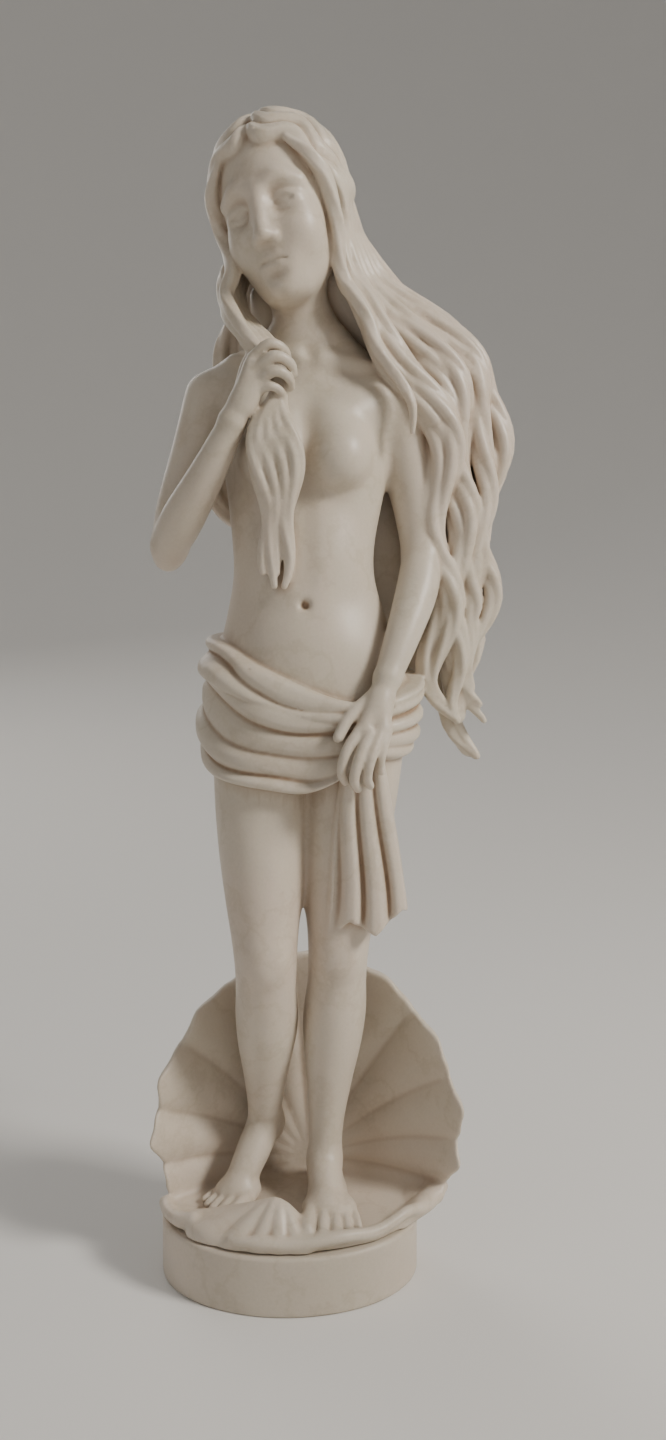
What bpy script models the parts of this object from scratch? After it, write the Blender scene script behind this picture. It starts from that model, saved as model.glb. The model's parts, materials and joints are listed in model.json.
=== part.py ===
"""Standing classical goddess in an open scallop shell on an oval plinth, cast in cream bonded marble.

Metres, +Z up. The origin is the middle of the plinth's underside, the figure faces -Y and +X is to
the right of somebody who looks at its face. Two solids: the plain oval plinth, and the casting of the
figure with the shell it stands in. The casting is carved in a block of measured space: each form gives
its distance to every point of a grid, forms are joined with soft blends, and the skin is drawn where
the distance is nought.
"""

import math

import bmesh
import bpy
import numpy as np
import openvdb
from mathutils import Euler
from mathutils.bvhtree import BVHTree

for old in list(bpy.data.objects):
    bpy.data.objects.remove(old, do_unlink=True)

# Driving sizes in metres
FIGURE_HEIGHT = 0.2565       # soles to crown
PLINTH_WIDTH = 0.062
PLINTH_DEPTH = 0.046
PLINTH_HEIGHT = 0.0136
PLINTH_EDGE_ROUND = 0.0009
SEAT_GAP = 0.0003            # between the plinth's top and the casting
SHELL_WIDTH = 0.0755
SHELL_OFFSET = 0.0045        # the shell's middle lies this far to +X of the plinth's
SHELL_RISE = 0.056           # top of the shell above its floor
SHELL_THICKNESS = 0.0026
SHELL_INSET = 0.0020         # the wall's top stands this far inside the plinth's back edge
SHELL_RIBS = 19              # round the full turn about the hinge
FLOOR_THICKNESS = 0.0020
FLOOR_MARGIN_X = 0.0005      # the plinth's rim shows this much round the shell's floor
FLOOR_MARGIN_Y = 0.0020
LIP_RADIUS = 0.00125         # rolled front edge of the floor
SHELL_BACK = PLINTH_DEPTH / 2 - SHELL_INSET

# Fineness of the carving
CARVING_STEP = 0.00075
FIGURE_TRIANGLES = 8800
PLINTH_SEGMENTS = 96

# The carving is written on a figure 253.5 units tall, soles at height nought
UNIT = FIGURE_HEIGHT / 253.5
FAR = 30.0


class Shape:
    """A form given by its box and the signed distance to its skin, less than nought inside."""

    def __init__(self, low, high, distance, bones=()):
        self.low = np.array(low, float)
        self.high = np.array(high, float)
        self.distance = distance
        self.bones = bones


class Frame:
    """A moved, turned and resized set of axes, such as the head's."""

    def __init__(self, origin, turn, size):
        self.origin = np.array(origin, float)
        self.turn = np.array(turn, float) * size
        self.size = size

    def inside(self, x, y, z):
        t = self.turn / self.size ** 2
        px = x - self.origin[0]
        py = y - self.origin[1]
        pz = z - self.origin[2]
        return (px * t[0, 0] + py * t[1, 0] + pz * t[2, 0],
                px * t[0, 1] + py * t[1, 1] + pz * t[2, 1],
                px * t[0, 2] + py * t[1, 2] + pz * t[2, 2])

    def outside(self, point):
        return np.array(point, float) @ self.turn.T + self.origin


def smooth_min(a, b, soft):
    h = np.maximum(soft - np.abs(a - b), 0.0)
    return np.minimum(a, b) - h * h * (0.25 / soft)


def smooth_max(a, b, soft):
    return -smooth_min(-a, -b, soft)


def ball(centre, radii):
    """An egg-shaped form."""
    middle = np.array(centre, float)
    r = np.array(radii if np.ndim(radii) else (radii,) * 3, float)

    def distance(x, y, z):
        px = x - middle[0]
        py = y - middle[1]
        pz = z - middle[2]
        near = np.sqrt((px / r[0]) ** 2 + (py / r[1]) ** 2 + (pz / r[2]) ** 2)
        steep = np.sqrt((px / r[0] ** 2) ** 2 + (py / r[1] ** 2) ** 2 + (pz / r[2] ** 2) ** 2)
        return near * (near - 1.0) / np.maximum(steep, 1e-6)

    return Shape(middle - r, middle + r, distance)


def bone(start, end, start_radius, end_radius=None):
    """A round bar with round ends, straight and tapered."""
    a = np.array(start, float)
    b = np.array(end, float)
    end_radius = start_radius if end_radius is None else end_radius
    along = b - a
    length2 = max(float(along @ along), 1e-9)

    def distance(x, y, z):
        px = x - a[0]
        py = y - a[1]
        pz = z - a[2]
        t = np.clip((px * along[0] + py * along[1] + pz * along[2]) / length2, 0, 1)
        gap = np.sqrt((px - t * along[0]) ** 2 + (py - t * along[1]) ** 2 + (pz - t * along[2]) ** 2)
        return gap - (start_radius + t * (end_radius - start_radius))

    widest = max(start_radius, end_radius)
    return Shape(np.minimum(a, b) - widest, np.maximum(a, b) + widest, distance)


def spline(points, per_span):
    """Rows read off the smooth curve through the given rows, of any number of columns."""
    rows = np.array(points, float)
    rows = np.vstack([2 * rows[0] - rows[1], rows, 2 * rows[-1] - rows[-2]])
    out = []
    for i in range(1, len(rows) - 2):
        a, b, c, d = rows[i - 1:i + 3]
        for s in np.linspace(0, 1, per_span, endpoint=False):
            square = (2 * a - 5 * b + 4 * c - d) * s * s
            cube = (3 * b - a - 3 * c + d) * s ** 3
            out.append(0.5 * (2 * b + (c - a) * s + square + cube))
    out.append(rows[-2])
    return np.array(out)


def tube_through(table):
    """A round bar through rows of x, y, z and radius."""
    bones = [bone(a[:3], b[:3], a[3], b[3]) for a, b in zip(table[:-1], table[1:])]
    low = np.min([b.low for b in bones], 0)
    high = np.max([b.high for b in bones], 0)
    return Shape(low, high, None, bones)


def tube(rows, per_span=4):
    return tube_through(spline(rows, per_span))


def column(stations):
    """An upright form through rows of height, centre x, centre y, half width and half depth."""
    table = spline(sorted(stations), 6)
    heights = table[:, 0]

    def distance(x, y, z):
        level = np.ravel(z)
        cx, cy, wide, deep = (np.interp(level, heights, table[:, i])[None, None, :] for i in range(1, 5))
        px = x - cx
        py = y - cy
        near = np.sqrt((px / wide) ** 2 + (py / deep) ** 2)
        steep = np.sqrt((px / wide ** 2) ** 2 + (py / deep ** 2) ** 2)
        side = near * (near - 1.0) / np.maximum(steep, 1e-6)
        side = np.where(near < 0.05, -np.minimum(wide, deep), side)
        ends = np.maximum(z - heights[-1], heights[0] - z)
        return smooth_max(side, ends, 3.0)

    low = [(table[:, 1] - table[:, 3]).min(), (table[:, 2] - table[:, 4]).min(), heights[0]]
    high = [(table[:, 1] + table[:, 3]).max(), (table[:, 2] + table[:, 4]).max(), heights[-1]]
    return Shape(low, high, distance)


def ridge(phase):
    """Rounded ridges with narrow valleys, 0 to 1, one to each whole turn of phase."""
    part = phase - np.floor(phase) - 0.5
    return np.sqrt(1 - (1.85 * part) ** 2)


def fold(phase):
    """Rounded folds that fall to nought in the valleys, one to each whole turn of phase."""
    part = np.abs(phase - np.floor(phase) - 0.5)
    return np.clip(1.06 - (2.05 * part) ** 2.4, 0, 1)


class Clay:
    """A block of space that holds the distance to the carved skin at each point of a grid."""

    def __init__(self, low, high, step):
        self.step = step
        self.axes = [np.arange(a, b + step, step, dtype=np.float32) for a, b in zip(low, high)]
        self.depth = np.full([len(axis) for axis in self.axes], FAR, np.float32)

    def blank(self):
        """Fresh clay on the same grid."""
        other = Clay.__new__(Clay)
        other.step = self.step
        other.axes = self.axes
        other.depth = np.full_like(self.depth, FAR)
        return other

    def window(self, low, high):
        """A smaller block of the same clay: what is carved in it is carved in the whole."""
        cut = tuple(slice(*np.searchsorted(axis, (a, b))) for axis, a, b in zip(self.axes, low, high))
        other = Clay.__new__(Clay)
        other.step = self.step
        other.axes = [axis[c] for axis, c in zip(self.axes, cut)]
        other.depth = self.depth[cut]
        return other

    def whole(self):
        x, y, z = self.axes
        return x[:, None, None], y[None, :, None], z[None, None, :]

    def near(self, shape, margin, frame):
        low = shape.low - margin
        high = shape.high + margin
        if frame is not None:
            ends = (low, high)
            corners = [[ends[i][0], ends[j][1], ends[k][2]] for i in (0, 1) for j in (0, 1) for k in (0, 1)]
            corners = np.array([frame.outside(corner) for corner in corners])
            low = corners.min(0)
            high = corners.max(0)
        cut = tuple(slice(*np.searchsorted(axis, (a, b))) for axis, a, b in zip(self.axes, low, high))
        x, y, z = (axis[c] for axis, c in zip(self.axes, cut))
        x, y, z = x[:, None, None], y[None, :, None], z[None, None, :]
        if frame is not None:
            x, y, z = frame.inside(x, y, z)
        return cut, x, y, z

    def measured(self, shape, margin, frame):
        cut, x, y, z = self.near(shape, margin, frame)
        if shape.distance is not None:
            return cut, shape.distance(x, y, z)
        found = np.full(self.depth[cut].shape, FAR, np.float32)
        for part in shape.bones:
            inner, px, py, pz = self.near(part, margin, frame)
            local = tuple(slice(i.start - c.start, i.stop - c.start) for i, c in zip(inner, cut))
            found[local] = np.minimum(found[local], part.distance(px, py, pz))
        return cut, found

    def add(self, shape, blend=1.0, frame=None):
        cut, found = self.measured(shape, blend + 2 * self.step, frame)
        self.depth[cut] = smooth_min(self.depth[cut], found, blend)

    def cut(self, shape, blend=1.0, frame=None):
        cut, found = self.measured(shape, blend + 2 * self.step, frame)
        self.depth[cut] = smooth_max(self.depth[cut], -found, blend)


# Body: the forms are rows of height, centre x, centre y, half width, half depth
TORSO = [
    (104, 4.6, 0.8, 17.5, 11.0),
    (112, 5.0, 1.0, 21.6, 13.0),
    (121, 5.4, 1.2, 22.9, 13.6),
    (131, 5.0, 0.8, 21.4, 12.8),
    (140, 4.2, 0.2, 18.6, 11.4),
    (149, 3.7, 0.0, 16.5, 10.3),
    (157, 3.6, 0.2, 16.6, 10.2),
    (167, 4.0, 0.6, 18.0, 10.8),
    (177, 4.2, 1.0, 19.4, 11.2),
    (185, 4.3, 1.4, 19.8, 10.8),
    (192, 4.6, 2.0, 18.0, 9.2),
    (199, 5.0, 2.4, 12.0, 7.2),
    (205, 5.2, 2.4, 7.4, 6.6),
]
STANDING_LEG = [
    (122, 15.8, 1.4, 10.6, 11.8),
    (111, 15.6, 0.8, 11.6, 12.4),
    (98, 14.6, 0.2, 11.1, 11.8),
    (85, 13.4, -0.6, 10.0, 10.6),
    (74, 12.5, -1.2, 8.7, 9.2),
    (66, 12.0, -1.4, 7.6, 8.2),
    (60, 11.7, -1.0, 7.1, 7.8),
    (54, 11.4, 0.2, 7.0, 7.6),
    (46, 11.0, 1.6, 7.4, 8.1),
    (38, 10.4, 2.2, 6.9, 7.5),
    (28, 9.6, 2.6, 5.4, 5.9),
    (18, 8.9, 3.0, 4.2, 4.7),
    (11, 8.6, 3.2, 4.0, 4.7),
    (5, 8.5, 3.4, 4.2, 5.2),
]
BENT_LEG = [
    (122, -5.6, 1.4, 10.8, 11.8),
    (111, -6.0, 0.2, 11.6, 12.2),
    (98, -6.3, -1.8, 11.0, 11.6),
    (85, -6.1, -4.0, 10.0, 10.4),
    (74, -5.7, -5.6, 8.8, 9.2),
    (66, -5.4, -6.4, 7.8, 8.3),
    (60, -5.2, -6.2, 7.3, 8.0),
    (54, -5.2, -4.6, 7.1, 7.7),
    (46, -5.4, -1.4, 7.3, 8.0),
    (38, -5.6, 1.4, 6.8, 7.3),
    (30, -5.9, 4.0, 5.5, 5.9),
    (22, -6.2, 6.2, 4.4, 4.9),
    (17, -6.4, 7.4, 4.1, 4.7),
]
# Arms: rows of x, y, z and radius
RIGHT_ARM = [
    (-17.6, 1.6, 190.5, 6.6),
    (-21.4, 1.8, 178, 6.0),
    (-25.4, 1.6, 166, 5.4),
    (-27.8, 0.4, 156.6, 4.4),
]
RIGHT_FOREARM = [
    (-27.4, -1.0, 156.6, 4.2),
    (-24.0, -6.2, 161.6, 4.9),
    (-17.8, -11.6, 170.6, 4.1),
    (-11.6, -15.6, 181.2, 3.0),
]
LEFT_ARM = [
    (25.4, 2.2, 188.5, 6.5),
    (28.0, 3.2, 176, 5.9),
    (30.4, 3.6, 164, 5.2),
    (31.6, 3.2, 154.6, 4.7),
]
LEFT_FOREARM = [
    (31.6, 2.4, 154.8, 4.6),
    (30.0, -2.0, 146, 4.9),
    (26.6, -7.4, 136, 4.1),
    (22.8, -12.0, 126, 3.1),
]
# Fingers and toes: a radius each, then rows of x, y, z
RIGHT_FINGERS = [
    (1.35, [(-7.0, -17.0, 195.0), (-3.2, -18.4, 197.6), (-0.2, -16.9, 196.8), (0.6, -14.4, 195.0)]),
    (1.4, [(-6.2, -17.6, 192.6), (-2.0, -19.2, 194.8), (1.2, -17.5, 193.7), (1.8, -15.0, 192.0)]),
    (1.3, [(-5.9, -17.7, 190.2), (-1.9, -19.1, 191.7), (0.9, -17.4, 190.7), (1.3, -15.1, 189.2)]),
    (1.1, [(-6.2, -17.2, 187.8), (-3.0, -18.3, 188.7), (-0.8, -16.9, 187.9), (-0.6, -15.2, 186.7)]),
    (1.5, [(-10.0, -14.6, 188.0), (-8.6, -13.0, 194.4), (-6.0, -12.6, 199.0)]),
]
LEFT_FINGERS = [
    (1.35, [(16.4, -17.2, 114.4), (13.4, -19.4, 109.8), (12.3, -18.8, 105.4), (13.2, -16.4, 102.9)]),
    (1.4, [(18.6, -17.8, 113.6), (16.2, -20.2, 108.4), (15.1, -19.6, 103.8), (16.0, -17.0, 101.4)]),
    (1.3, [(20.8, -17.5, 113.6), (18.9, -19.9, 108.6), (18.0, -19.2, 104.2), (18.7, -16.8, 102.0)]),
    (1.1, [(22.8, -16.4, 114.6), (21.5, -18.5, 110.2), (20.9, -18.0, 106.6), (21.2, -16.2, 104.9)]),
    (1.5, [(19.0, -13.4, 121.6), (14.4, -16.0, 117.6), (11.6, -18.0, 112.8)]),
]
STANDING_TOES = [
    (2.0, [(5.4, -11.6, 2.4), (5.0, -14.6, 2.3), (4.8, -17.8, 1.8)]),
    (1.45, [(8.3, -12.6, 2.6), (8.3, -15.8, 2.5), (8.2, -18.6, 1.5)]),
    (1.35, [(10.8, -12.2, 2.4), (11.1, -15.2, 2.3), (11.2, -17.8, 1.4)]),
    (1.25, [(13.0, -11.0, 2.2), (13.6, -14.0, 2.1), (13.9, -16.2, 1.3)]),
    (1.15, [(14.9, -9.2, 1.9), (15.7, -12.0, 1.8), (16.2, -14.2, 1.1)]),
]
RESTING_TOES = [
    (1.9, [(-9.6, -4.4, 2.5), (-11.0, -7.0, 2.3), (-12.6, -9.4, 1.8)]),
    (1.35, [(-12.4, -4.6, 2.5), (-14.2, -7.0, 2.4), (-15.6, -9.0, 1.5)]),
    (1.25, [(-14.4, -3.4, 2.4), (-16.2, -5.6, 2.2), (-17.7, -7.2, 1.4)]),
    (1.15, [(-16.0, -1.8, 2.2), (-17.8, -3.8, 2.0), (-19.2, -5.2, 1.3)]),
    (1.05, [(-17.2, 0.2, 1.9), (-18.8, -1.4, 1.7), (-20.2, -2.6, 1.2)]),
]


def carve_body(clay):
    clay.add(column(TORSO), 4)
    clay.add(column(STANDING_LEG), 3)
    clay.add(column(BENT_LEG), 3)
    # Belly, seat and groin
    clay.add(ball((4.2, -5.4, 130), (12.5, 7.8, 14)), 5)
    clay.add(ball((4.4, -4.0, 152), (11.0, 7.2, 13)), 5)
    clay.add(ball((14.6, 7.6, 113), (10.2, 8.2, 11)), 4)
    clay.add(ball((-3.8, 7.4, 112), (10.2, 8.2, 11)), 4)
    clay.add(ball((5.0, -6.2, 113.5), (6.5, 5.0, 6.5)), 4)
    # Knees and calves
    clay.add(ball((11.7, -6.6, 61.5), (3.6, 2.3, 4.6)), 4)
    clay.add(ball((-5.1, -12.2, 61.5), (3.6, 2.3, 4.6)), 4)
    clay.add(ball((9.4, 5.2, 47), (4.6, 4.8, 10)), 3)
    clay.add(ball((-4.2, 2.8, 46), (4.6, 4.8, 10)), 3)
    # Neck and shoulders
    clay.add(bone((5.6, 2.6, 196), (0.8, 0.4, 224), 6.4, 6.1), 4)
    clay.add(bone((5.2, 4.2, 207), (-12.5, 2.8, 196), 3.6, 4.6), 6)
    clay.add(bone((5.2, 4.2, 207), (20.5, 3.2, 194.5), 3.6, 4.6), 6)
    # Breasts
    clay.add(bone((10.4, -7.2, 184), (20.5, -1.0, 189), 3.0, 4.4), 6)
    clay.add(bone((-1.6, -7.2, 185), (-12.2, -1.0, 191), 3.0, 4.4), 6)
    for x, z in ((11.6, 175.6), (-3.2, 176.8)):
        clay.add(ball((x, -8.4, z + 0.4), (7.2, 7.2, 7.6)), 4)
        clay.add(ball((x, -9.4, z - 1.4), (6.0, 6.0, 5.4)), 2.4)
    # Collar bones and the notch between them
    clay.add(bone((7.6, -5.0, 198.4), (20.5, -1.6, 196.6), 0.9, 1.1), 3.4)
    clay.add(bone((2.8, -5.0, 198.8), (-12.0, -1.6, 198.6), 0.9, 1.1), 3.4)
    clay.cut(ball((5.2, -7.8, 200.2), 1.8), 2.4)
    # Navel, front line, spine and cleft
    clay.cut(bone((4.2, -14.4, 142.6), (4.2, -11.2, 142.0), 0.8, 0.9), 1.6)
    clay.cut(bone((4.2, -13.0, 168), (4.2, -14.2, 148), 0.9), 4)
    clay.cut(bone((4.6, 13.8, 186), (4.9, 12.6, 150), 1.4), 5)
    clay.cut(bone((4.9, 12.6, 150), (5.3, 16.0, 124), 1.4), 5)
    clay.cut(bone((5.4, 17.0, 122), (5.2, 12.0, 104), 1.0), 3)


def carve_digits(clay, digits):
    for radius, points in digits:
        rows = [list(point) + [radius * (1.0 - 0.08 * i)] for i, point in enumerate(points)]
        clay.add(tube(rows, 3), 0.5)


def carve_arms(clay):
    clay.add(tube(RIGHT_ARM), 3)
    clay.add(tube(LEFT_ARM), 3)
    clay.add(tube(RIGHT_FOREARM), 1.6)
    clay.add(tube(LEFT_FOREARM), 1.6)
    # Points of the elbows
    clay.add(ball((-28.4, 1.4, 153.2), (2.5, 2.7, 2.4)), 3)
    clay.add(ball((33.4, 4.8, 153.6), (2.4, 2.6, 2.6)), 3)
    # Right hand, closed round a lock of hair
    clay.add(bone((-11.5, -15.8, 182.2), (-8.6, -16.6, 187.0), 2.9, 2.6), 1.5)
    clay.add(bone((-9.4, -16.4, 186.0), (-7.0, -17.0, 193.4), 2.4, 2.0), 1.5)
    clay.add(bone((-8.6, -16.4, 185.0), (-6.2, -17.2, 189.0), 2.4, 2.0), 1.5)
    carve_digits(clay, RIGHT_FINGERS)
    # Left hand, gathering the cloth
    clay.add(bone((22.6, -12.2, 125.6), (20.6, -14.4, 119.6), 2.9, 2.6), 1.5)
    clay.add(bone((20.4, -14.0, 121.0), (17.4, -16.8, 114.6), 2.5, 1.9), 1.5)
    clay.add(bone((21.6, -13.4, 121.0), (21.4, -16.4, 114.8), 2.5, 1.9), 1.5)
    carve_digits(clay, LEFT_FINGERS)


def carve_feet(clay):
    # The foot that carries the weight
    clay.add(ball((8.3, 5.4, 4.0), (4.2, 5.4, 4.6)), 2)
    clay.add(tube([(8.3, 1.4, 9.0, 4.1), (8.8, -3.6, 5.6, 4.0), (9.2, -8.6, 3.4, 3.0)]), 2)
    clay.add(ball((9.6, -8.8, 2.6), (6.4, 5.2, 2.7)), 2)
    clay.add(ball((9.2, -2.0, 2.6), (4.8, 9.0, 3.2)), 2)
    carve_digits(clay, STANDING_TOES)
    # The turned-out foot, its heel raised
    clay.add(ball((-5.6, 10.6, 14.2), (4.0, 4.6, 4.6)), 2)
    clay.add(tube([(-6.2, 8.2, 16.0, 4.2), (-9.0, 3.6, 10.4, 4.1), (-12.0, -0.8, 4.6, 3.5)]), 2)
    clay.add(ball((-12.3, -1.4, 3.0), (5.6, 4.6, 3.0)), 2)
    carve_digits(clay, RESTING_TOES)


# Head, turned to the viewer's left, leaning to that side and bowed. Its own axes: +Z crown, -Y face
HEAD_TURN = Euler((math.radians(14), math.radians(-11), math.radians(-22)), "XYZ").to_matrix()
HEAD = Frame((-1.0, -2.4, 231.8), HEAD_TURN, 1.08)
CAP_CENTRE = np.array((0.0, 2.2, 4.0))
CAP_RADII = np.array((14.0, 16.6, 15.2))
EAR = np.array((0.86, 0.12, -0.50)) / math.sqrt(0.86 ** 2 + 0.12 ** 2 + 0.50 ** 2)
HAIRLINE = np.array((0.0, -0.80, 0.60))
AHEAD = (HAIRLINE - (HAIRLINE @ EAR) * EAR) / np.linalg.norm(HAIRLINE - (HAIRLINE @ EAR) * EAR)
ABOVE = np.cross(AHEAD, EAR)


def carve_head(clay):
    clay.add(ball((0, 1.6, 4), (11.9, 15.0, 14.2)), 2, HEAD)
    clay.add(ball((0, -4.4, -5.0), (9.6, 9.9, 13.6)), 5, HEAD)
    clay.add(ball((0, -11.2, -16.0), (3.4, 3.3, 2.9)), 3.5, HEAD)
    for s in (-1, 1):
        # Cheek, jaw, brow, eye socket and eye
        clay.add(ball((s * 5.4, -9.2, -6.6), (4.0, 4.2, 4.8)), 4, HEAD)
        clay.add(bone((s * 7.2, 0, -9), (s * 3.0, -8.4, -15.6), 3.0, 2.6), 4, HEAD)
        brow = [(s * 1.6, -13.3, 2.6, 0.9), (s * 4.8, -13.0, 3.8, 0.9), (s * 8.4, -10.4, 2.2, 0.7)]
        clay.add(tube(brow), 2.5, HEAD)
        clay.cut(ball((s * 4.7, -15.6, -0.6), (3.8, 3.6, 2.7)), 2.0, HEAD)
        clay.add(ball((s * 4.6, -10.0, -0.9), (3.2, 3.1, 2.6)), 0.5, HEAD)
        # Side of the nose and its wing
        clay.add(bone((s * 0.8, -12.6, 1.6), (s * 1.3, -14.2, -6.4), 1.0, 1.3), 1.8, HEAD)
        clay.add(ball((s * 1.8, -14.6, -7.0), (1.1, 1.5, 1.05)), 0.9, HEAD)
    # Nose, mouth and lips
    clay.add(bone((0, -13.2, 3.0), (0, -16.3, -5.8), 1.0, 1.2), 1.8, HEAD)
    clay.add(ball((0, -16.5, -6.5), (1.4, 1.2, 1.25)), 1.0, HEAD)
    clay.add(ball((0, -11.9, -11.4), (4.6, 2.6, 3.6)), 3.0, HEAD)
    upper_lip = [(-3.2, -13.4, -11.4, 0.4), (0, -14.6, -10.6, 0.75), (3.2, -13.4, -11.4, 0.4)]
    lower_lip = [(-2.8, -13.4, -12.1, 0.4), (0, -14.5, -12.5, 0.95), (2.8, -13.4, -12.1, 0.4)]
    clay.add(tube(upper_lip), 0.8, HEAD)
    clay.add(tube(lower_lip), 0.8, HEAD)


def on_cap(way, lift=0.02):
    """The point of the hair's outside that lies that way from the middle of the head."""
    direction = np.array(way, float)
    direction /= np.linalg.norm(direction)
    return tuple(HEAD.outside(CAP_CENTRE + CAP_RADII * direction * (1 + lift)))


def combed(locks, relief):
    """Hair combed from the middle parting over the ears, in wavy locks that fan out from each ear."""

    def distance(x, y, z):
        px = x - CAP_CENTRE[0]
        py = y - CAP_CENTRE[1]
        pz = z - CAP_CENTRE[2]
        rx, ry, rz = CAP_RADII
        near = np.sqrt((px / rx) ** 2 + (py / ry) ** 2 + (pz / rz) ** 2) + 1e-6
        steep = np.sqrt((px / rx ** 2) ** 2 + (py / ry ** 2) ** 2 + (pz / rz ** 2) ** 2)
        away = near * (near - 1.0) / np.maximum(steep, 1e-6)
        dx = np.abs(px) / rx / near
        dy = py / ry / near
        dz = pz / rz / near
        polar = np.arccos(np.clip(dx * EAR[0] + dy * EAR[1] + dz * EAR[2], -1, 1))
        up = dx * ABOVE[0] + dy * ABOVE[1] + dz * ABOVE[2]
        forward = dx * AHEAD[0] + dy * AHEAD[1] + dz * AHEAD[2]
        fan = np.arctan2(up, forward)
        fan = np.where(fan < -1.6, fan + 2 * math.pi, fan)
        wavy = fan + 0.10 * np.sin(7.5 * polar + 0.8) * np.clip(polar * 1.5, 0, 1)
        strength = np.clip(np.sin(polar) * 1.3, 0, 1)
        rise = relief * strength * (ridge(wavy * locks / math.pi) - 0.5)
        rise = rise - 0.9 * np.exp(-(px / 0.9) ** 2) * (dz > 0.2)
        front = (0.02 - wavy) * 11.0
        below = (wavy - 4.1) * 10.0
        return smooth_max(smooth_max(away - rise, front, 1.6), below, 1.5)

    return Shape(CAP_CENTRE - CAP_RADII - 2, CAP_CENTRE + CAP_RADII + 2, distance)


def carve_strand(clay, rows, blend, sway):
    """One tapered strand along a smooth curve. sway holds its waves' size, length, shift and top."""
    table = spline(rows, 5)
    size, length, shift, start = sway
    down = np.clip((start - table[:, 2]) / 30.0, 0, 1)
    table[:, 0] += size * down * np.sin(2 * math.pi * (start - table[:, 2]) / length + shift)
    clay.add(tube_through(table), blend)


def carve_hair(clay):
    clay.add(combed(10, 1.9), 0.3, HEAD)
    # The mass under the locks, beside the left shoulder and down the back
    clay.add(column([
        (114, 41, 7.5, 1.6, 1.6),
        (123, 40, 7.5, 3.0, 2.2),
        (134, 39.5, 7.5, 4.2, 2.6),
        (147, 41, 8.0, 5.2, 3.0),
        (160, 40, 8.5, 5.6, 3.2),
        (173, 39, 9.0, 7.0, 3.4),
        (187, 38, 9.4, 11.4, 3.8),
        (198, 32, 9.4, 14.6, 4.2),
        (208, 23, 8.6, 16.0, 5.0),
        (218, 12, 7.0, 13.6, 6.6),
        (228, 2, 5.4, 10.4, 8.6),
    ]), 1.0)
    clay.add(column([
        (165, -4, 12.4, 5, 2.0),
        (174, 0, 12.6, 10.0, 2.2),
        (186, 3, 11.8, 14.0, 3.4),
        (198, 4, 10.4, 14.0, 4.4),
        (208, 3, 8.6, 12.0, 5.6),
        (218, 1.2, 6.5, 10.6, 7.0),
    ]), 1.0)
    clay.add(column([
        (127, 32, 10.0, 3.5, 1.4),
        (136, 28, 10.6, 7.0, 1.8),
        (147, 23, 11.4, 11.0, 2.1),
        (159, 18, 12.0, 15.0, 2.3),
        (171, 15, 12.2, 19.0, 2.5),
        (184, 13, 11.8, 22.0, 3.0),
        (194, 12, 11.0, 22.0, 3.2),
    ]), 1.0)
    # The fall from the crown down the back, in ten clumps of three strands
    for j in range(10):
        u = j / 9
        edge = max(0.0, u - 0.55) / 0.45
        bottom = 158 - 42 * u ** 1.2 + 5 * math.sin(2.6 * j)
        for k in (-1, 0, 1):
            side = 2.3 * k
            out = 1.0 if k == 0 else 0.0
            w = 2 * u - 1 + 0.075 * k
            lift = 0.045 if k == 0 else 0.015
            rows = [
                on_cap((0.28 * w, 0.30, 0.95), lift) + (0.7,),
                on_cap((0.52 * w, 0.62, 0.66), lift) + (1.5,),
                on_cap((0.72 * w, 0.72, 0.16), lift) + (1.7,),
                on_cap((0.78 * w, 0.66, -0.36), lift) + (1.8,),
                (-10 + 34 * u + 0.9 * side, 12.6 - 2.5 * edge + out, 212, 2.1),
                (-14 + 51 * u + side, 14.0 - 4.0 * edge + out, 200, 2.3),
                (-16 + 59 * u + side, 15.2 - 5.5 * edge + out, 185, 2.4),
                (-14 + 57 * u + side, 15.2 - 5.2 * edge + out, 168, 2.3),
                (-9 + 51 * u + side, 14.6 - 4.2 * edge + out, 0.5 * (168 + bottom), 2.0),
                (-6 + 47 * u + 0.4 * side, 13.8 - 3.5 * edge + out, bottom + 3 * abs(k), 1.4),
                (-3 + 47 * u, 13.4 - 3.5 * edge + out, bottom - 5, 0.8),
            ]
            size = 2.0 + 0.8 * math.sin(2.1 * j)
            length = 31 + 5 * math.sin(1.7 * j + 1)
            carve_strand(clay, rows, 0.9, (size, length, 1.1 * j + 0.25 * k, 236))
    # Thick locks that swing out over the left shoulder and fall behind the arm
    for j in range(7):
        u = j / 6
        near = 1.6 * (j % 2)
        tip = 4 * (j % 3)
        rows = [
            on_cap((0.90, -0.56 + 0.80 * u, 0.24 - 0.05 * u), -0.06) + (0.7,),
            on_cap((1.0, -0.30 + 0.66 * u, -0.18), 0.03) + (1.3,),
            on_cap((0.95, -0.06 + 0.52 * u, -0.62), 0.03) + (1.6,),
            (12.8 + 12.2 * u, -3.6 + 10.4 * u, 218, 2.2),
            (17.4 + 20.0 * u, -5.0 + 11.8 * u, 208.5, 2.5),
            (24.0 + 22.6 * u, -4.8 + 11.8 * u, 199, 2.8),
            (30.6 + 19.4 * u, -2.6 + 9.4 * u - near, 187, 2.9),
            (34.4 + 13.0 * u, 0.0 + 6.6 * u - near, 172, 2.8),
            (34.8 + 11.4 * u, 1.8 + 5.0 * u - near, 158, 2.7),
            (34.6 + 12.4 * u, 2.8 + 4.2 * u - near, 145, 2.5),
            (34.2 + 9.8 * u, 3.8 + 3.2 * u - near, 131 + tip, 2.0),
            (35.4 + 7.0 * u, 4.6 + 2.6 * u - 0.6 * near, 121 + tip, 1.5),
            (39.4 + 6.0 * u, 5.0 + 2.4 * u - 0.4 * near, 115 + tip, 0.8),
        ]
        size = 2.3 + 0.6 * math.sin(2 * j)
        length = 36 + 4 * math.sin(1.9 * j)
        carve_strand(clay, rows, 0.9, (size, length, 0.8 * j, 226))
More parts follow.
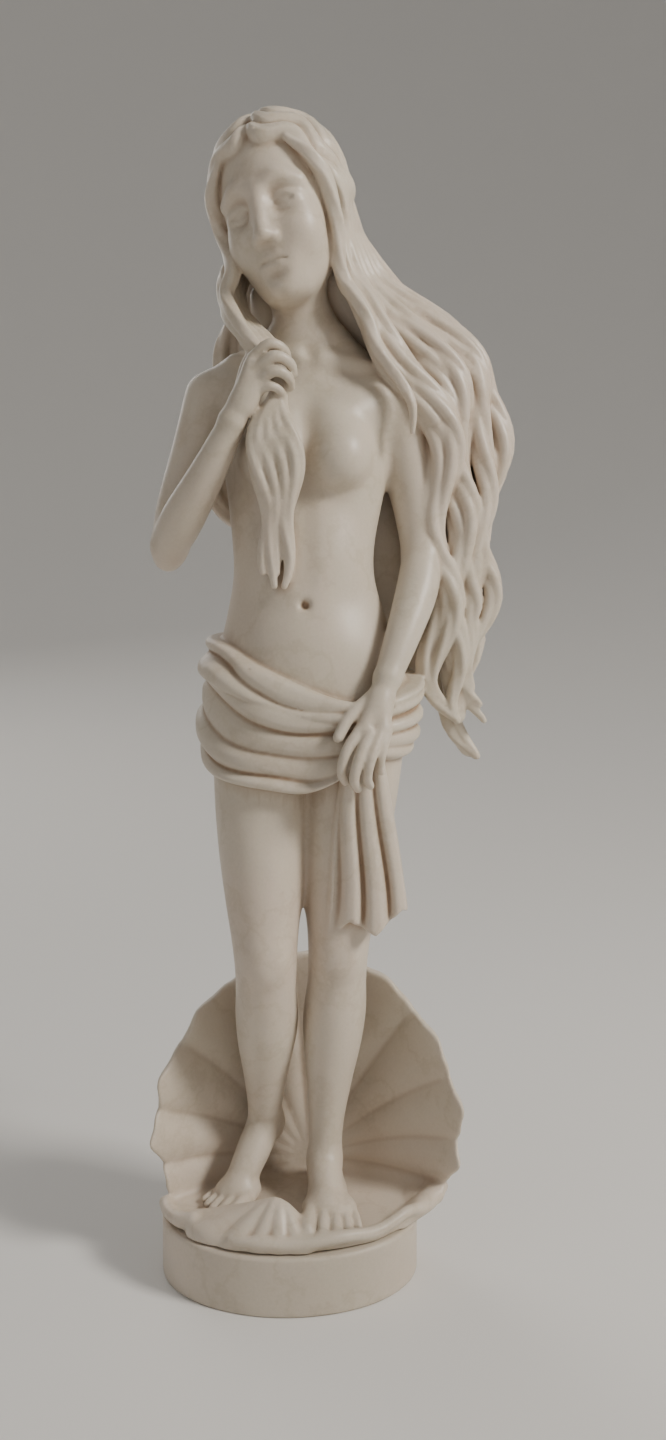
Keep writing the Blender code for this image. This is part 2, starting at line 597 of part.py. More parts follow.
    # A loose strand from each temple, in front of the ear: one falls on the shoulder, the other joins the
    # lock held in the right hand
    ends = {
        1: [(18.6, -8.0, 204, 1.7), (23.4, -8.8, 197, 1.5), (26.2, -8.6, 189, 1.2), (29, -7.4, 181, 0.7)],
        -1: [(-12.4, -10.2, 208, 1.6), (-8.8, -13.8, 201.5, 1.4), (-4.6, -16.0, 196, 1.0)],
    }
    for s, end in ends.items():
        drop = 217 - 0.5 * s
        rows = [
            on_cap((s * 0.66, -0.86, 0.52), 0.0) + (0.8,),
            on_cap((s * 0.86, -0.66, 0.10), 0.05) + (1.6,),
            on_cap((s * 0.92, -0.46, -0.34), 0.05) + (1.8,),
            (s * 12.4 + 0.4, -7.0, drop, 1.8),
            (s * 14.0 + 0.6, -7.8, drop - 5.5, 1.7),
        ]
        rows += end
        carve_strand(clay, rows, 0.9, (0.5 + 0.5 * s, 21, 0.9, 232))
    # The lock held in the right hand
    for j in range(4):
        u = j / 3
        rows = [
            on_cap((-0.90, -0.56 + 0.66 * u, 0.24 - 0.05 * u), -0.06) + (0.7,),
            on_cap((-1.0, -0.30 + 0.52 * u, -0.18), 0.03) + (1.4,),
            on_cap((-0.92, -0.04 + 0.38 * u, -0.62), 0.03) + (1.7,),
            (-14.2 + 2.4 * u, -1.6 + 7.0 * u, 217.5, 2.0),
            (-13.2 + 3.0 * u, -5.8 + 6.0 * u, 209.5, 2.2),
            (-8.8 + 3.4 * u, -11.2 + 3.6 * u, 202, 1.9),
            (-4.0 + 2.6 * u, -14.8 + 0.9 * u, 193, 1.5),
            (-3.2 + 3.2 * u, -15.0 + 0.4 * u, 187, 1.6),
            (-5.0 + 6.2 * u, -17.0 + 0.3 * u, 178, 2.1),
            (-6.0 + 6.6 * u, -15.6 + 0.5 * u, 168, 2.1),
            (-3.6 + 5.0 * u, -13.2, 158 - 2 * (j % 2), 1.6),
            (-4.4 + 2.6 * u, -12.6, 149 - 3 * (j % 2), 0.8),
        ]
        carve_strand(clay, rows, 0.9, (1.4, 25, 0.5 * j, 222))


def carve_cloth(clay):
    """The cloth wound round the hips, with folds that spread from the left hand across the front."""
    clay = clay.window((-30, -24, 60), (42, 24, 145))
    hips = clay.blank()
    hips.add(column(TORSO), 4)
    hips.add(column(STANDING_LEG), 8)
    hips.add(column(BENT_LEG), 8)
    hips.add(ball((14.6, 7.6, 113), (10.2, 8.2, 11)), 6)
    hips.add(ball((-3.8, 7.4, 112), (10.2, 8.2, 11)), 6)
    hips.add(ball((5.0, -6.0, 106), (10, 6.0, 14)), 8)
    x, y, z = clay.whole()
    # The share of the way from the left hand across the front, round the back and to the hand again
    turn = np.arctan2(x - 5.0, 1.0 - y)
    share = (0.95 - turn) / (2 * math.pi)
    share = share - np.floor(share)
    edges = spline([
        (0.0, 119.5, 108.0),
        (0.1, 121.5, 102.0),
        (0.25, 128.0, 100.5),
        (0.38, 135.0, 106.5),
        (0.55, 137.0, 113.5),
        (0.8, 130.0, 109.5),
        (1.0, 121.0, 107.5),
    ], 10)
    top = np.interp(share, edges[:, 0], edges[:, 1])
    low = np.interp(share, edges[:, 0], edges[:, 2]) + 0.7 * np.sin(31 * share)
    height = (z - low) / (top - low)
    gather = np.interp(share, [0, 0.06, 0.3, 0.8, 0.94, 1.0], [0.5, 0.8, 1.0, 1.0, 0.8, 0.5])
    lean = 0.35 * np.sin(8.5 * share + 0.6) + 0.16 * np.sin(23 * share + 4 * height)
    phase = 4.3 * np.clip(height, 0, 1) ** 0.85 + 0.9 * share + lean
    size = 1.45 + 0.75 * np.sin(4.1 * np.floor(phase) + 8.0 * share)
    roll = 1.5 * np.clip(1 - ((height - 0.88) / 0.17) ** 2, 0, 1) ** 0.5
    thick = 0.7 + size * fold(phase) * gather + roll
    ends = np.maximum(z - top, low - z)
    cloth = smooth_max(hips.depth - thick, ends, 1.4)
    # The gathered end falls from the left hand in pleats that widen downwards, with a zigzag hem
    drop = np.clip((113.0 - z) / 46.0, -0.2, 1.2)
    middle = 17.0 + 1.8 * drop
    half = 3.4 + 6.4 * np.clip(drop, 0, 1.2) ** 0.7
    across = (x - middle) / half
    bow = np.clip(drop, 0, 1) * (3.0 * across ** 2 + 1.2 * across)
    front = -15.6 + 3.4 * drop + bow
    lean = 1.55 * across + 0.12 * np.sin(6 * drop) + 0.3
    pleat = fold(lean)
    deep = 2.6 * np.clip(0.35 + 0.9 * drop, 0, 1)
    near = front + deep * (1 - pleat) - y
    far = y - front - deep - 1.9
    zigzag = np.abs((lean + 0.5) % 2 - 1)
    hem = 66.5 + 4.6 * zigzag + 1.6 * across
    sides = (np.abs(across) - 1) * half
    tail = smooth_max(smooth_max(np.maximum(near, far), sides, 1.8), np.maximum(hem - z, z - 112), 1.0)
    made = smooth_min(cloth, tail, 1.0)
    clay.depth[...] = smooth_min(clay.depth, made.astype(np.float32), 0.5)


def carve_shell(clay):
    """The scallop: a ribbed wall that curves round behind the legs, a floor and a ruffled front lip."""
    clay = clay.window((-70, -40, -20), (80, 40, 80))
    middle = SHELL_OFFSET / UNIT
    half = SHELL_WIDTH / UNIT / 2
    rise = SHELL_RISE / UNIT
    thickness = SHELL_THICKNESS / UNIT
    back = SHELL_BACK / UNIT
    floor = FLOOR_THICKNESS / UNIT
    floor_x = (PLINTH_WIDTH / 2 - FLOOR_MARGIN_X) / UNIT
    floor_y = (PLINTH_DEPTH / 2 - FLOOR_MARGIN_Y) / UNIT
    lip = LIP_RADIUS / UNIT
    x, y, z = clay.whole()
    # The ribs fan out from a hinge low behind the heels. The grooves of the two faces lie half a rib apart
    px = x - middle
    hinge = z - 0.06 * rise
    turn = np.arctan2(hinge, px)
    grow = np.clip(np.sqrt(px ** 2 + hinge ** 2) / (rise * 0.6), 0, 1.2)
    band = (np.sin(turn * SHELL_RIBS / 2) ** 2 + 0.02) ** 0.3 - 0.6
    between = (np.cos(turn * SHELL_RIBS / 2) ** 2 + 0.02) ** 0.3 - 0.6
    upright = back - 6.0 * ((rise - z) / rise) ** 2
    inward = (np.abs(px) / half) ** 2.2
    slope = np.sqrt(1 + (2.2 * (upright + 3.5) * (np.abs(px) / half) ** 1.2 / half) ** 2)
    wall = (y - upright + (upright + 3.5) * inward) / slope
    outer = wall - (thickness / 2 + 1.6 * between * grow)
    inner = -wall - (thickness / 2 + 1.9 * band * grow)
    rim = np.sqrt(px ** 2 + (z - (rise - half + 0.5)) ** 2) - (half - 0.9) - 1.5 * band * grow
    rim = rim - 0.25 * np.sin(turn * SHELL_RIBS * 2 + 1) * grow
    sheet = smooth_max(np.maximum(outer, inner), rim, 1.3)
    # The floor leaves a crescent of the plinth bare at the front left
    compass = np.arctan2(y / floor_y, x / floor_x)
    bare = 1 - 0.10 * np.exp(-((compass + 2.45) / 0.55) ** 2)
    slab = (np.sqrt((x / floor_x) ** 2 + (y / floor_y) ** 2) - bare) * floor_y
    slab = np.maximum(slab, np.maximum(z, -floor - z))
    made = smooth_min(sheet, slab, 3.0)
    clay.depth[...] = smooth_min(clay.depth, made.astype(np.float32), 0.6)
    # The lip: low before the toes, then climbing in small waves out to the low end of the wall
    rows = []
    for k in range(37):
        a = math.radians(-114 + 118 * k / 36)
        climb = k / 36
        out = 6.4 * max(0.0, climb - 0.72) / 0.28
        ripple = math.sin(19 * climb + 0.4) * (0.15 + 1.1 * climb)
        reach = 0.4 + 0.6 * ripple
        taper = min(1.0, 0.45 + 4 * climb)
        rows.append(((floor_x + reach + out) * math.cos(a), (floor_y + reach) * math.sin(a),
                     0.1 + 1.6 * climb + 0.9 * ripple, lip * (1.15 - 0.2 * climb) * taper))
    clay.add(tube(rows, 2), 1.8)
    # The web between the lip and the low end of the wall
    web = [
        (floor_x - 3.4, -8.4, -1.0, 1.4),
        (floor_x - 0.6, -5.4, -0.2, 1.9),
        (floor_x + 1.8, -2.6, 0.4, 2.0),
        (floor_x + 4.0, 0.0, 1.4, 1.7),
    ]
    clay.add(tube(web, 3), 2.4)
    clay.add(ball((floor_x + 1.2, 0.9, -0.3), (3.0, 3.6, 1.5)), 1.6)
    clay.add(tube([
        (-30.0, -2.0, 0.2, 1.2),
        (-28.2, -6.4, 0.0, 1.4),
        (-24.8, -10.0, 0.0, 1.8),
        (-21.6, -11.6, 0.8, 2.0),
    ], 4), 1.8)
    # The ear folded over at the front left. It climbs to a crest beside the toes, flutes fan out from the
    # crest to its lower edge, and it drops to the lip in front of the toes
    along = (x + 23.5) / 20.5
    rising = 2.0 + 5.4 * np.clip(along, 0, 1) ** 1.25
    falling = 7.4 * np.clip(1 - ((x + 3.0) / 8.5) ** 2, -0.5, 1)
    crest = np.where(x < -3.0, rising, falling)
    spine = -9.6 - 4.2 * np.clip(along, 0, 1.3)
    edge = -(floor_y + 0.6) * np.sqrt(np.clip(1 - (x / (floor_x + 0.6)) ** 2, 0.02, 1))
    fan = np.arctan2(y + 11.5, -(x + 1.5))
    flute = (np.sin(fan * 7.0) ** 2 + 0.02) ** 0.3 - 0.6
    ahead = np.clip((spine - y) / np.maximum(spine - edge, 1.5), 0, 1.6)
    behind = np.clip((y - spine) / 3.6, 0, 1.6)
    surface = crest * (1 - ahead ** 1.8) * (1 - behind ** 2) + 1.5 * flute * np.clip(ahead * 1.4, 0, 1)
    ear = smooth_max((z - surface) * 0.6, -23.5 - x, 2.5)
    ear = smooth_max(ear, edge - 0.5 * flute - y, 1.2)
    ear = np.maximum(ear, np.maximum(y - spine - 3.6, x - 5.5))
    clay.depth[...] = smooth_min(clay.depth, ear.astype(np.float32), 0.9)


def grown(space):
    """The same cells and all that touch them."""
    for axis in range(3):
        here = np.swapaxes(space, 0, axis)
        more = here.copy()
        more[1:] |= here[:-1]
        more[:-1] |= here[1:]
        space = np.swapaxes(more, 0, axis)
    return space


def fill_pinholes(clay, steps):
    """Closes gaps too narrow to cast, such as slits between two strands, and leaves the rest as it is."""
    air = clay.depth > steps * clay.step
    for _ in range(steps):
        air = grown(air)
    clay.depth = np.where(~air & (clay.depth > -0.3 * clay.step), -0.3 * clay.step, clay.depth)


def skin(clay):
    """Vertices and faces where the distance is nought."""
    reach = 3 * clay.step
    grid = openvdb.FloatGrid(reach)
    grid.copyFromArray(np.clip(clay.depth, -reach, reach))
    grid.gridClass = openvdb.GridClass.LEVEL_SET
    points, _, quads = grid.convertToPolygons(isovalue=0.0, adaptivity=0.0)
    corner = np.array([axis[0] for axis in clay.axes])
    return points * clay.step + corner, quads[:, ::-1]


def largest_piece(points, quads):
    """The main body alone, without the specks and bubbles that deep grooves leave."""
    label = np.arange(len(points))
    while True:
        lowest = label[quads].min(axis=1)
        before = label.copy()
        np.minimum.at(label, quads.ravel(), np.repeat(lowest, 4))
        label = label[label]
        if np.array_equal(label, before):
            break
    main = np.bincount(label).argmax()
    kept = label == main
    number = np.cumsum(kept) - 1
    return points[kept], number[quads[kept[quads[:, 0]]]]


def material(name, colour, roughness):
    made = bpy.data.materials.new(name)
    made.use_nodes = True
    shader = made.node_tree.nodes["Principled BSDF"]
    shader.inputs["Base Color"].default_value = colour
    shader.inputs["Roughness"].default_value = roughness
    shader.inputs["Metallic"].default_value = 0.0
    return made


def thinned(obj, triangles):
    """The same object with about that many triangles."""
    count = sum(len(face.vertices) - 2 for face in obj.data.polygons)
    thin = obj.modifiers.new("thin", "DECIMATE")
    thin.ratio = triangles / count
    thin.use_collapse_triangulate = True
    graph = bpy.context.evaluated_depsgraph_get()
    mesh = bpy.data.meshes.new_from_object(obj.evaluated_get(graph))
    obj.modifiers.clear()
    obj.data = mesh
    return obj


def settled(mesh):
    """The same mesh with folded and crossing triangles drawn back towards their neighbours."""
    shape = bmesh.new()
    shape.from_mesh(mesh)
    for _ in range(30):
        shape.normal_update()
        shape.faces.ensure_lookup_table()
        tree = BVHTree.FromBMesh(shape)
        moved = set()
        for a, b in tree.overlap(tree):
            first = shape.faces[a]
            second = shape.faces[b]
            if a < b and not set(first.verts) & set(second.verts):
                moved.update(first.verts)
                moved.update(second.verts)
        for edge in shape.edges:
            one, two = edge.link_faces
            if one.normal.dot(two.normal) < -0.9:
                moved.update(one.verts)
                moved.update(two.verts)
        if not moved:
            break
        places = {}
        for vert in moved:
            near = [edge.other_vert(vert).co for edge in vert.link_edges]
            places[vert] = vert.co.lerp(sum(near[1:], near[0].copy()) / len(near), 0.5)
        for vert, place in places.items():
            vert.co = place
    shape.to_mesh(mesh)
    shape.free()


def build_figure(stone):
    half = SHELL_WIDTH / UNIT / 2
    middle = SHELL_OFFSET / UNIT
    low = (
        min(-34.0, middle - half - 3),
        min(-25.0, -PLINTH_DEPTH / UNIT / 2 - 3),
        -FLOOR_THICKNESS / UNIT - 1.5,
    )
    high = (max(58.0, middle + half + 3), max(24.0, SHELL_BACK / UNIT + 5), 263.0)
    clay = Clay(low, high, CARVING_STEP / UNIT)
    carve_body(clay)
    carve_arms(clay)
    carve_feet(clay)
    carve_head(clay)
    carve_hair(clay)
    carve_cloth(clay)
    carve_shell(clay)
    fill_pinholes(clay, 1)
    clay.depth = np.maximum(clay.depth, -FLOOR_THICKNESS / UNIT - clay.whole()[2])
    points, quads = largest_piece(*skin(clay))
    points = points * UNIT
    points[:, 2] += PLINTH_HEIGHT + SEAT_GAP + FLOOR_THICKNESS
    mesh = bpy.data.meshes.new("goddess_on_shell")
    mesh.from_pydata(points.tolist(), [], quads.tolist())
    obj = bpy.data.objects.new("goddess_on_shell", mesh)
    bpy.context.scene.collection.objects.link(obj)
    thinned(obj, FIGURE_TRIANGLES)
    settled(obj.data)
    for vert in obj.data.vertices:
        vert.co.z = max(vert.co.z, PLINTH_HEIGHT + SEAT_GAP)
    obj.data.materials.clear()
    obj.data.materials.append(stone)
    return obj


def build_plinth(stone):
    """A plain oval disc with its top edge eased."""
    shape = bmesh.new()
    ring = []
    rounds = [(0.0, 0.0), (0.0, PLINTH_HEIGHT - PLINTH_EDGE_ROUND)]
    for k in (1, 2, 3):
        a = math.radians(30 * k)
        inset = PLINTH_EDGE_ROUND * (1 - math.cos(a))
        rounds.append((inset, PLINTH_HEIGHT - PLINTH_EDGE_ROUND * (1 - math.sin(a))))
    for inset, z in rounds:
        row = []
        for i in range(PLINTH_SEGMENTS):
            a = 2 * math.pi * i / PLINTH_SEGMENTS
            x = (PLINTH_WIDTH / 2 - inset) * math.cos(a)
            y = (PLINTH_DEPTH / 2 - inset) * math.sin(a)
            row.append(shape.verts.new((x, y, z)))
        ring.append(row)
    for below, above in zip(ring[:-1], ring[1:]):
        for i in range(PLINTH_SEGMENTS):
            j = (i + 1) % PLINTH_SEGMENTS
            shape.faces.new((below[i], below[j], above[j], above[i]))
    shape.faces.new(list(reversed(ring[0])))
    shape.faces.new(ring[-1])
    mesh = bpy.data.meshes.new("plinth")
    shape.to_mesh(mesh)
    shape.free()
    obj = bpy.data.objects.new("plinth", mesh)
    bpy.context.scene.collection.objects.link(obj)
    obj.data.materials.append(stone)
    return obj


build_plinth(material("plinth_marble", (0.70, 0.62, 0.53, 1.0), 0.42))
build_figure(material("figure_marble", (0.72, 0.65, 0.56, 1.0), 0.38))
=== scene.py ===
"""Looks of the standing Aphrodite: the fine carving of the cast marble, its material, light and camera.

The solids come packed as the frame. The figure is carved again here on a finer grid, with the locks of
hair parted into strands and with eyelids and lips, and it stands for the coarser CAD node. Everything is in
metres in the frame's axes: +Z up, the figure's face to -Y.
"""

import json
import math
from itertools import product

import bmesh
import bpy
import numpy as np
import openvdb
from mathutils import Euler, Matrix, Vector

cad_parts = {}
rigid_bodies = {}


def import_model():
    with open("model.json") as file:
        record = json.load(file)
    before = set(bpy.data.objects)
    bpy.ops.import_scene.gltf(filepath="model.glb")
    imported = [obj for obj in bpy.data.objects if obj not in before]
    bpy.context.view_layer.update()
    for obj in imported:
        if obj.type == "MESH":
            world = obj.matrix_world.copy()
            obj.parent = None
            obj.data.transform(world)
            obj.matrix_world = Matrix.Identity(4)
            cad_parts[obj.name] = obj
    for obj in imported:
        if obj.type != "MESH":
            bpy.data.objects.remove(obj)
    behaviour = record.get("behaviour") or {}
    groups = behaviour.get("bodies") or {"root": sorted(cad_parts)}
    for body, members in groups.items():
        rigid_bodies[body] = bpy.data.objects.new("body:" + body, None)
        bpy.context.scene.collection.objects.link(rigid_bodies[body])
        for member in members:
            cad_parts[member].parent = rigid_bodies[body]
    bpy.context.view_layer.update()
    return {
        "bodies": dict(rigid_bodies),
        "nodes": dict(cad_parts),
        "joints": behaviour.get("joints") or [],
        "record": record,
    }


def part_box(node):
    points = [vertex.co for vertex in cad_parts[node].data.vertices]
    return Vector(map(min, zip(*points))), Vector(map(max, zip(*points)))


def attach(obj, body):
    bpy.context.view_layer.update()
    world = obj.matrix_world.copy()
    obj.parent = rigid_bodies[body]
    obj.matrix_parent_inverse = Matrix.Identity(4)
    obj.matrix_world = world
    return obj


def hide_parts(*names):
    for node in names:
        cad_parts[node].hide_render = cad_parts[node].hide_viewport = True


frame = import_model()
plinth_low, plinth_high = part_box("plinth")
figure_low, figure_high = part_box("goddess_on_shell")

# Sizes read from the frame, and those of the shell
PLINTH_WIDTH = plinth_high[0] - plinth_low[0]
PLINTH_DEPTH = plinth_high[1] - plinth_low[1]
PLINTH_HEIGHT = plinth_high[2]
PLINTH_EDGE_ROUND = 0.0009
PLINTH_UNEVENNESS = 0.00006
PLINTH_SEGMENTS = 256
FIGURE_BOTTOM = figure_low[2]
FIGURE_HEIGHT = 0.2565
SHELL_WIDTH = 0.0755
SHELL_OFFSET = 0.0045
SHELL_RISE = 0.056
SHELL_THICKNESS = 0.0026
SHELL_BACK = 0.021
SHELL_RIBS = 19
FLOOR_THICKNESS = 0.0020
FLOOR_MARGIN_X = 0.0005
FLOOR_MARGIN_Y = 0.0020
LIP_RADIUS = 0.00125

# Fineness of the carving
CARVING_STEP = 0.00042
FIGURE_TRIANGLES = 190000
SOFTENING = 0.6
BOX_GAP = 0.0001

# The carving is written on a figure 253.5 units tall, soles at height nought. These are in units too
FIGURE_UNITS = 253.5
UNIT = FIGURE_HEIGHT / FIGURE_UNITS
FAR = 30.0
HOLLOW_REACH = 1.3
CLAY_MARGIN = 3
SHELL_MARGIN = 5
FIGURE_LEFT = -35.0
FIGURE_RIGHT = 58.0
FIGURE_FRONT = -25.0
FIGURE_REAR = 24.0
FIGURE_TOP = 263.0
CLOTH_SPACE = ((-30, -24, 60), (42, 24, 145))
SHELL_SPACE = ((-70, -40, -20), (80, 40, 80))

# Hair
COMBED_LOCKS = 10
COMBED_RELIEF = 1.9
STRANDS_IN_LOCK = 4
STRAND_TWIST = 0.10
STRAND_BLEND = 0.3
BODY_AXIS = 5.0

# Marble: its light tone, its warm tone and the painted shade of its hollows
FIGURE_TONES = ((0.68, 0.595, 0.505), (0.61, 0.52, 0.435), (0.54, 0.42, 0.33))
# The plinth's tones: the figure's marble painted a little darker, as shade on the plinth's upright sides; it
# has no shade in hollows
PLINTH_SHADED_TONES = ((0.64, 0.555, 0.47), (0.58, 0.495, 0.415), None)
WHITE = (1, 1, 1)
# Tone of open faces, a shade under the painted highlight on edges
OPEN_FACE = (0.965, 0.955, 0.94)

# Stage: each light's name, place, side, power and colour, all turned to one point
LIGHTS = [
    ("key", (0.66, -0.32, 0.62), 0.20, 7.0, (1.0, 0.955, 0.89)),
    ("fill", (-0.70, -0.55, 0.35), 0.6, 0.45, (0.88, 0.93, 1.0)),
    ("rim", (-0.40, 0.60, 0.60), 0.5, 1.6, (1.0, 0.97, 0.93)),
    ("overhead", (0.0, 0.0, 2.4), 2.6, 7.0, (1.0, 0.985, 0.96)),
]
LIT_POINT = (0.0, 0.0, 0.14)
SKY_TONE = (0.82, 0.84, 0.88, 1)
SKY_STRENGTH = 0.16
BACKDROP_TONE = (0.76, 0.745, 0.72, 1)
BACKDROP_MIDDLE = 0.15
BACKDROP_FLAT = 0.32
BACKDROP_CURVE = 1.6
BACKDROP_TOP = 2.8
BACKDROP_SEGMENTS = 96
# The photograph's view: 257 mm in front of the plinth's middle, 146.5 mm up, looking 3 degrees down
CAMERA_PLACE = (0.0105, -0.2573, 0.1465)
CAMERA_TILT = math.radians(87.0)
CAMERA_LENS = 27.0


class Shape:
    """A form given by its box and the signed distance to its skin, less than nought inside."""

    def __init__(self, low, high, distance, bones=()):
        self.low = np.array(low, float)
        self.high = np.array(high, float)
        self.distance = distance
        self.bones = bones


class Frame:
    """A moved, turned and resized set of axes, such as the head's."""

    def __init__(self, origin, turn, size):
        self.origin = np.array(origin, float)
        self.turn = np.array(turn, float) * size
        self.size = size

    def inside(self, x, y, z):
        t = self.turn / self.size ** 2
        px = x - self.origin[0]
        py = y - self.origin[1]
        pz = z - self.origin[2]
        return (px * t[0, 0] + py * t[1, 0] + pz * t[2, 0],
                px * t[0, 1] + py * t[1, 1] + pz * t[2, 1],
                px * t[0, 2] + py * t[1, 2] + pz * t[2, 2])

    def outside(self, point):
        return np.array(point, float) @ self.turn.T + self.origin


def norm(*parts):
    """The length of the arrows with these parts along the axes."""
    return np.sqrt(sum(part ** 2 for part in parts))


def smooth_min(a, b, soft):
    h = np.maximum(soft - np.abs(a - b), 0.0)
    return np.minimum(a, b) - h * h * (0.25 / soft)


def smooth_max(a, b, soft):
    return -smooth_min(-a, -b, soft)


def ball(centre, radii):
    """An egg-shaped form."""
    middle = np.array(centre, float)
    r = np.array(radii, float)

    def distance(x, y, z):
        px = x - middle[0]
        py = y - middle[1]
        pz = z - middle[2]
        near = norm(px / r[0], py / r[1], pz / r[2])
        steep = norm(px / r[0] ** 2, py / r[1] ** 2, pz / r[2] ** 2)
        return near * (near - 1.0) / np.maximum(steep, 1e-6)

    return Shape(middle - r, middle + r, distance)


def bone(start, end, start_radius, end_radius=None):
    """A round bar with round ends, straight and tapered."""
    a = np.array(start, float)
    b = np.array(end, float)
    end_radius = start_radius if end_radius is None else end_radius
    along = b - a
    square = max(float(along @ along), 1e-9)

    def distance(x, y, z):
        px = x - a[0]
        py = y - a[1]
        pz = z - a[2]
        t = np.clip((px * along[0] + py * along[1] + pz * along[2]) / square, 0, 1)
        gap = norm(px - t * along[0], py - t * along[1], pz - t * along[2])
        return gap - (start_radius + t * (end_radius - start_radius))

    widest = max(start_radius, end_radius)
    return Shape(np.minimum(a, b) - widest, np.maximum(a, b) + widest, distance)


def spline(points, per_span):
    """Rows read off the smooth curve through the given rows, of any number of columns."""
    rows = np.array(points, float)
    rows = np.vstack([2 * rows[0] - rows[1], rows, 2 * rows[-1] - rows[-2]])
    out = []
    for i in range(1, len(rows) - 2):
        a, b, c, d = rows[i - 1:i + 3]
        for s in np.linspace(0, 1, per_span, endpoint=False):
            square = (2 * a - 5 * b + 4 * c - d) * s * s
            cube = (3 * b - a - 3 * c + d) * s ** 3
            out.append(0.5 * (2 * b + (c - a) * s + square + cube))
    out.append(rows[-2])
    return np.array(out)


def tube_through(table):
    """A round bar through rows of x, y, z and radius."""
    bones = [bone(a[:3], b[:3], a[3], b[3]) for a, b in zip(table[:-1], table[1:])]
    low = np.min([b.low for b in bones], 0)
    high = np.max([b.high for b in bones], 0)
    return Shape(low, high, None, bones)


def tube(rows, per_span=4):
    return tube_through(spline(rows, per_span))


def column(stations):
    """An upright form through rows of height, centre x, centre y, half width and half depth."""
    table = spline(sorted(stations), 6)
    heights = table[:, 0]

    def distance(x, y, z):
        level = np.ravel(z)
        cx, cy, wide, deep = (np.interp(level, heights, table[:, i])[None, None, :] for i in range(1, 5))
        px = x - cx
        py = y - cy
        near = norm(px / wide, py / deep)
        steep = norm(px / wide ** 2, py / deep ** 2)
        side = near * (near - 1.0) / np.maximum(steep, 1e-6)
        side = np.where(near < 0.05, -np.minimum(wide, deep), side)
        ends = np.maximum(z - heights[-1], heights[0] - z)
        return smooth_max(side, ends, 3.0)

    low = [(table[:, 1] - table[:, 3]).min(), (table[:, 2] - table[:, 4]).min(), heights[0]]
    high = [(table[:, 1] + table[:, 3]).max(), (table[:, 2] + table[:, 4]).max(), heights[-1]]
    return Shape(low, high, distance)


def ridge(phase):
    """Rounded ridges with narrow valleys, 0 to 1, one to each whole turn of phase."""
    part = phase - np.floor(phase) - 0.5
    return np.sqrt(1 - (1.85 * part) ** 2)


def fold(phase):
    """Rounded folds that fall to nought in the valleys, one to each whole turn of phase."""
    part = np.abs(phase - np.floor(phase) - 0.5)
    return np.clip(1.06 - (2.05 * part) ** 2.4, 0, 1)


def rib(wave):
    """Broad ribs with narrow grooves, a rib for each half turn of the sine or cosine given."""
    return (wave ** 2 + 0.02) ** 0.3 - 0.6


class Clay:
    """A block of space that holds the distance to the carved skin at each point of a grid."""

    def __init__(self, axes, step, depth=None):
        self.axes = axes
        self.step = step
        self.depth = np.full([len(axis) for axis in axes], FAR, np.float32) if depth is None else depth

    def block(self, low, high):
        """The part of the grid between two corners, as slices."""
        return tuple(slice(*np.searchsorted(axis, (a, b))) for axis, a, b in zip(self.axes, low, high))

    def window(self, low, high):
        """A smaller block of the same clay: what is carved in it is carved in the whole."""
        cut = self.block(low, high)
        return Clay([axis[c] for axis, c in zip(self.axes, cut)], self.step, self.depth[cut])

    def corner(self):
        return np.array([axis[0] for axis in self.axes])

    def places(self, cut=(slice(None),) * 3):
        """The x, y and z of a part of the grid, each along its own direction."""
        x, y, z = (axis[c] for axis, c in zip(self.axes, cut))
        return x[:, None, None], y[None, :, None], z[None, None, :]

    def near(self, shape, margin, frame):
        """The part of the grid round a shape, and its x, y and z in the shape's own axes."""
        low = shape.low - margin
        high = shape.high + margin
        if frame is None:
            cut = self.block(low, high)
            return cut, *self.places(cut)
        corners = np.array([frame.outside(corner) for corner in product(*zip(low, high))])
        cut = self.block(corners.min(0), corners.max(0))
        return cut, *frame.inside(*self.places(cut))

    def measured(self, shape, margin, frame):
        """The part of the grid round a shape, and its distance to the shape's skin."""
        cut, x, y, z = self.near(shape, margin, frame)
        if shape.distance is not None:
            return cut, shape.distance(x, y, z)
        found = np.full(self.depth[cut].shape, FAR, np.float32)
        for part in shape.bones:
            inner, px, py, pz = self.near(part, margin, frame)
            local = tuple(slice(i.start - c.start, i.stop - c.start) for i, c in zip(inner, cut))
            found[local] = np.minimum(found[local], part.distance(px, py, pz))
        return cut, found

    def add(self, shape, blend=1.0, frame=None):
        cut, found = self.measured(shape, blend + 2 * self.step, frame)
        self.depth[cut] = smooth_min(self.depth[cut], found, blend)

    def cut(self, shape, blend=1.0, frame=None):
        cut, found = self.measured(shape, blend + 2 * self.step, frame)
        self.depth[cut] = smooth_max(self.depth[cut], -found, blend)


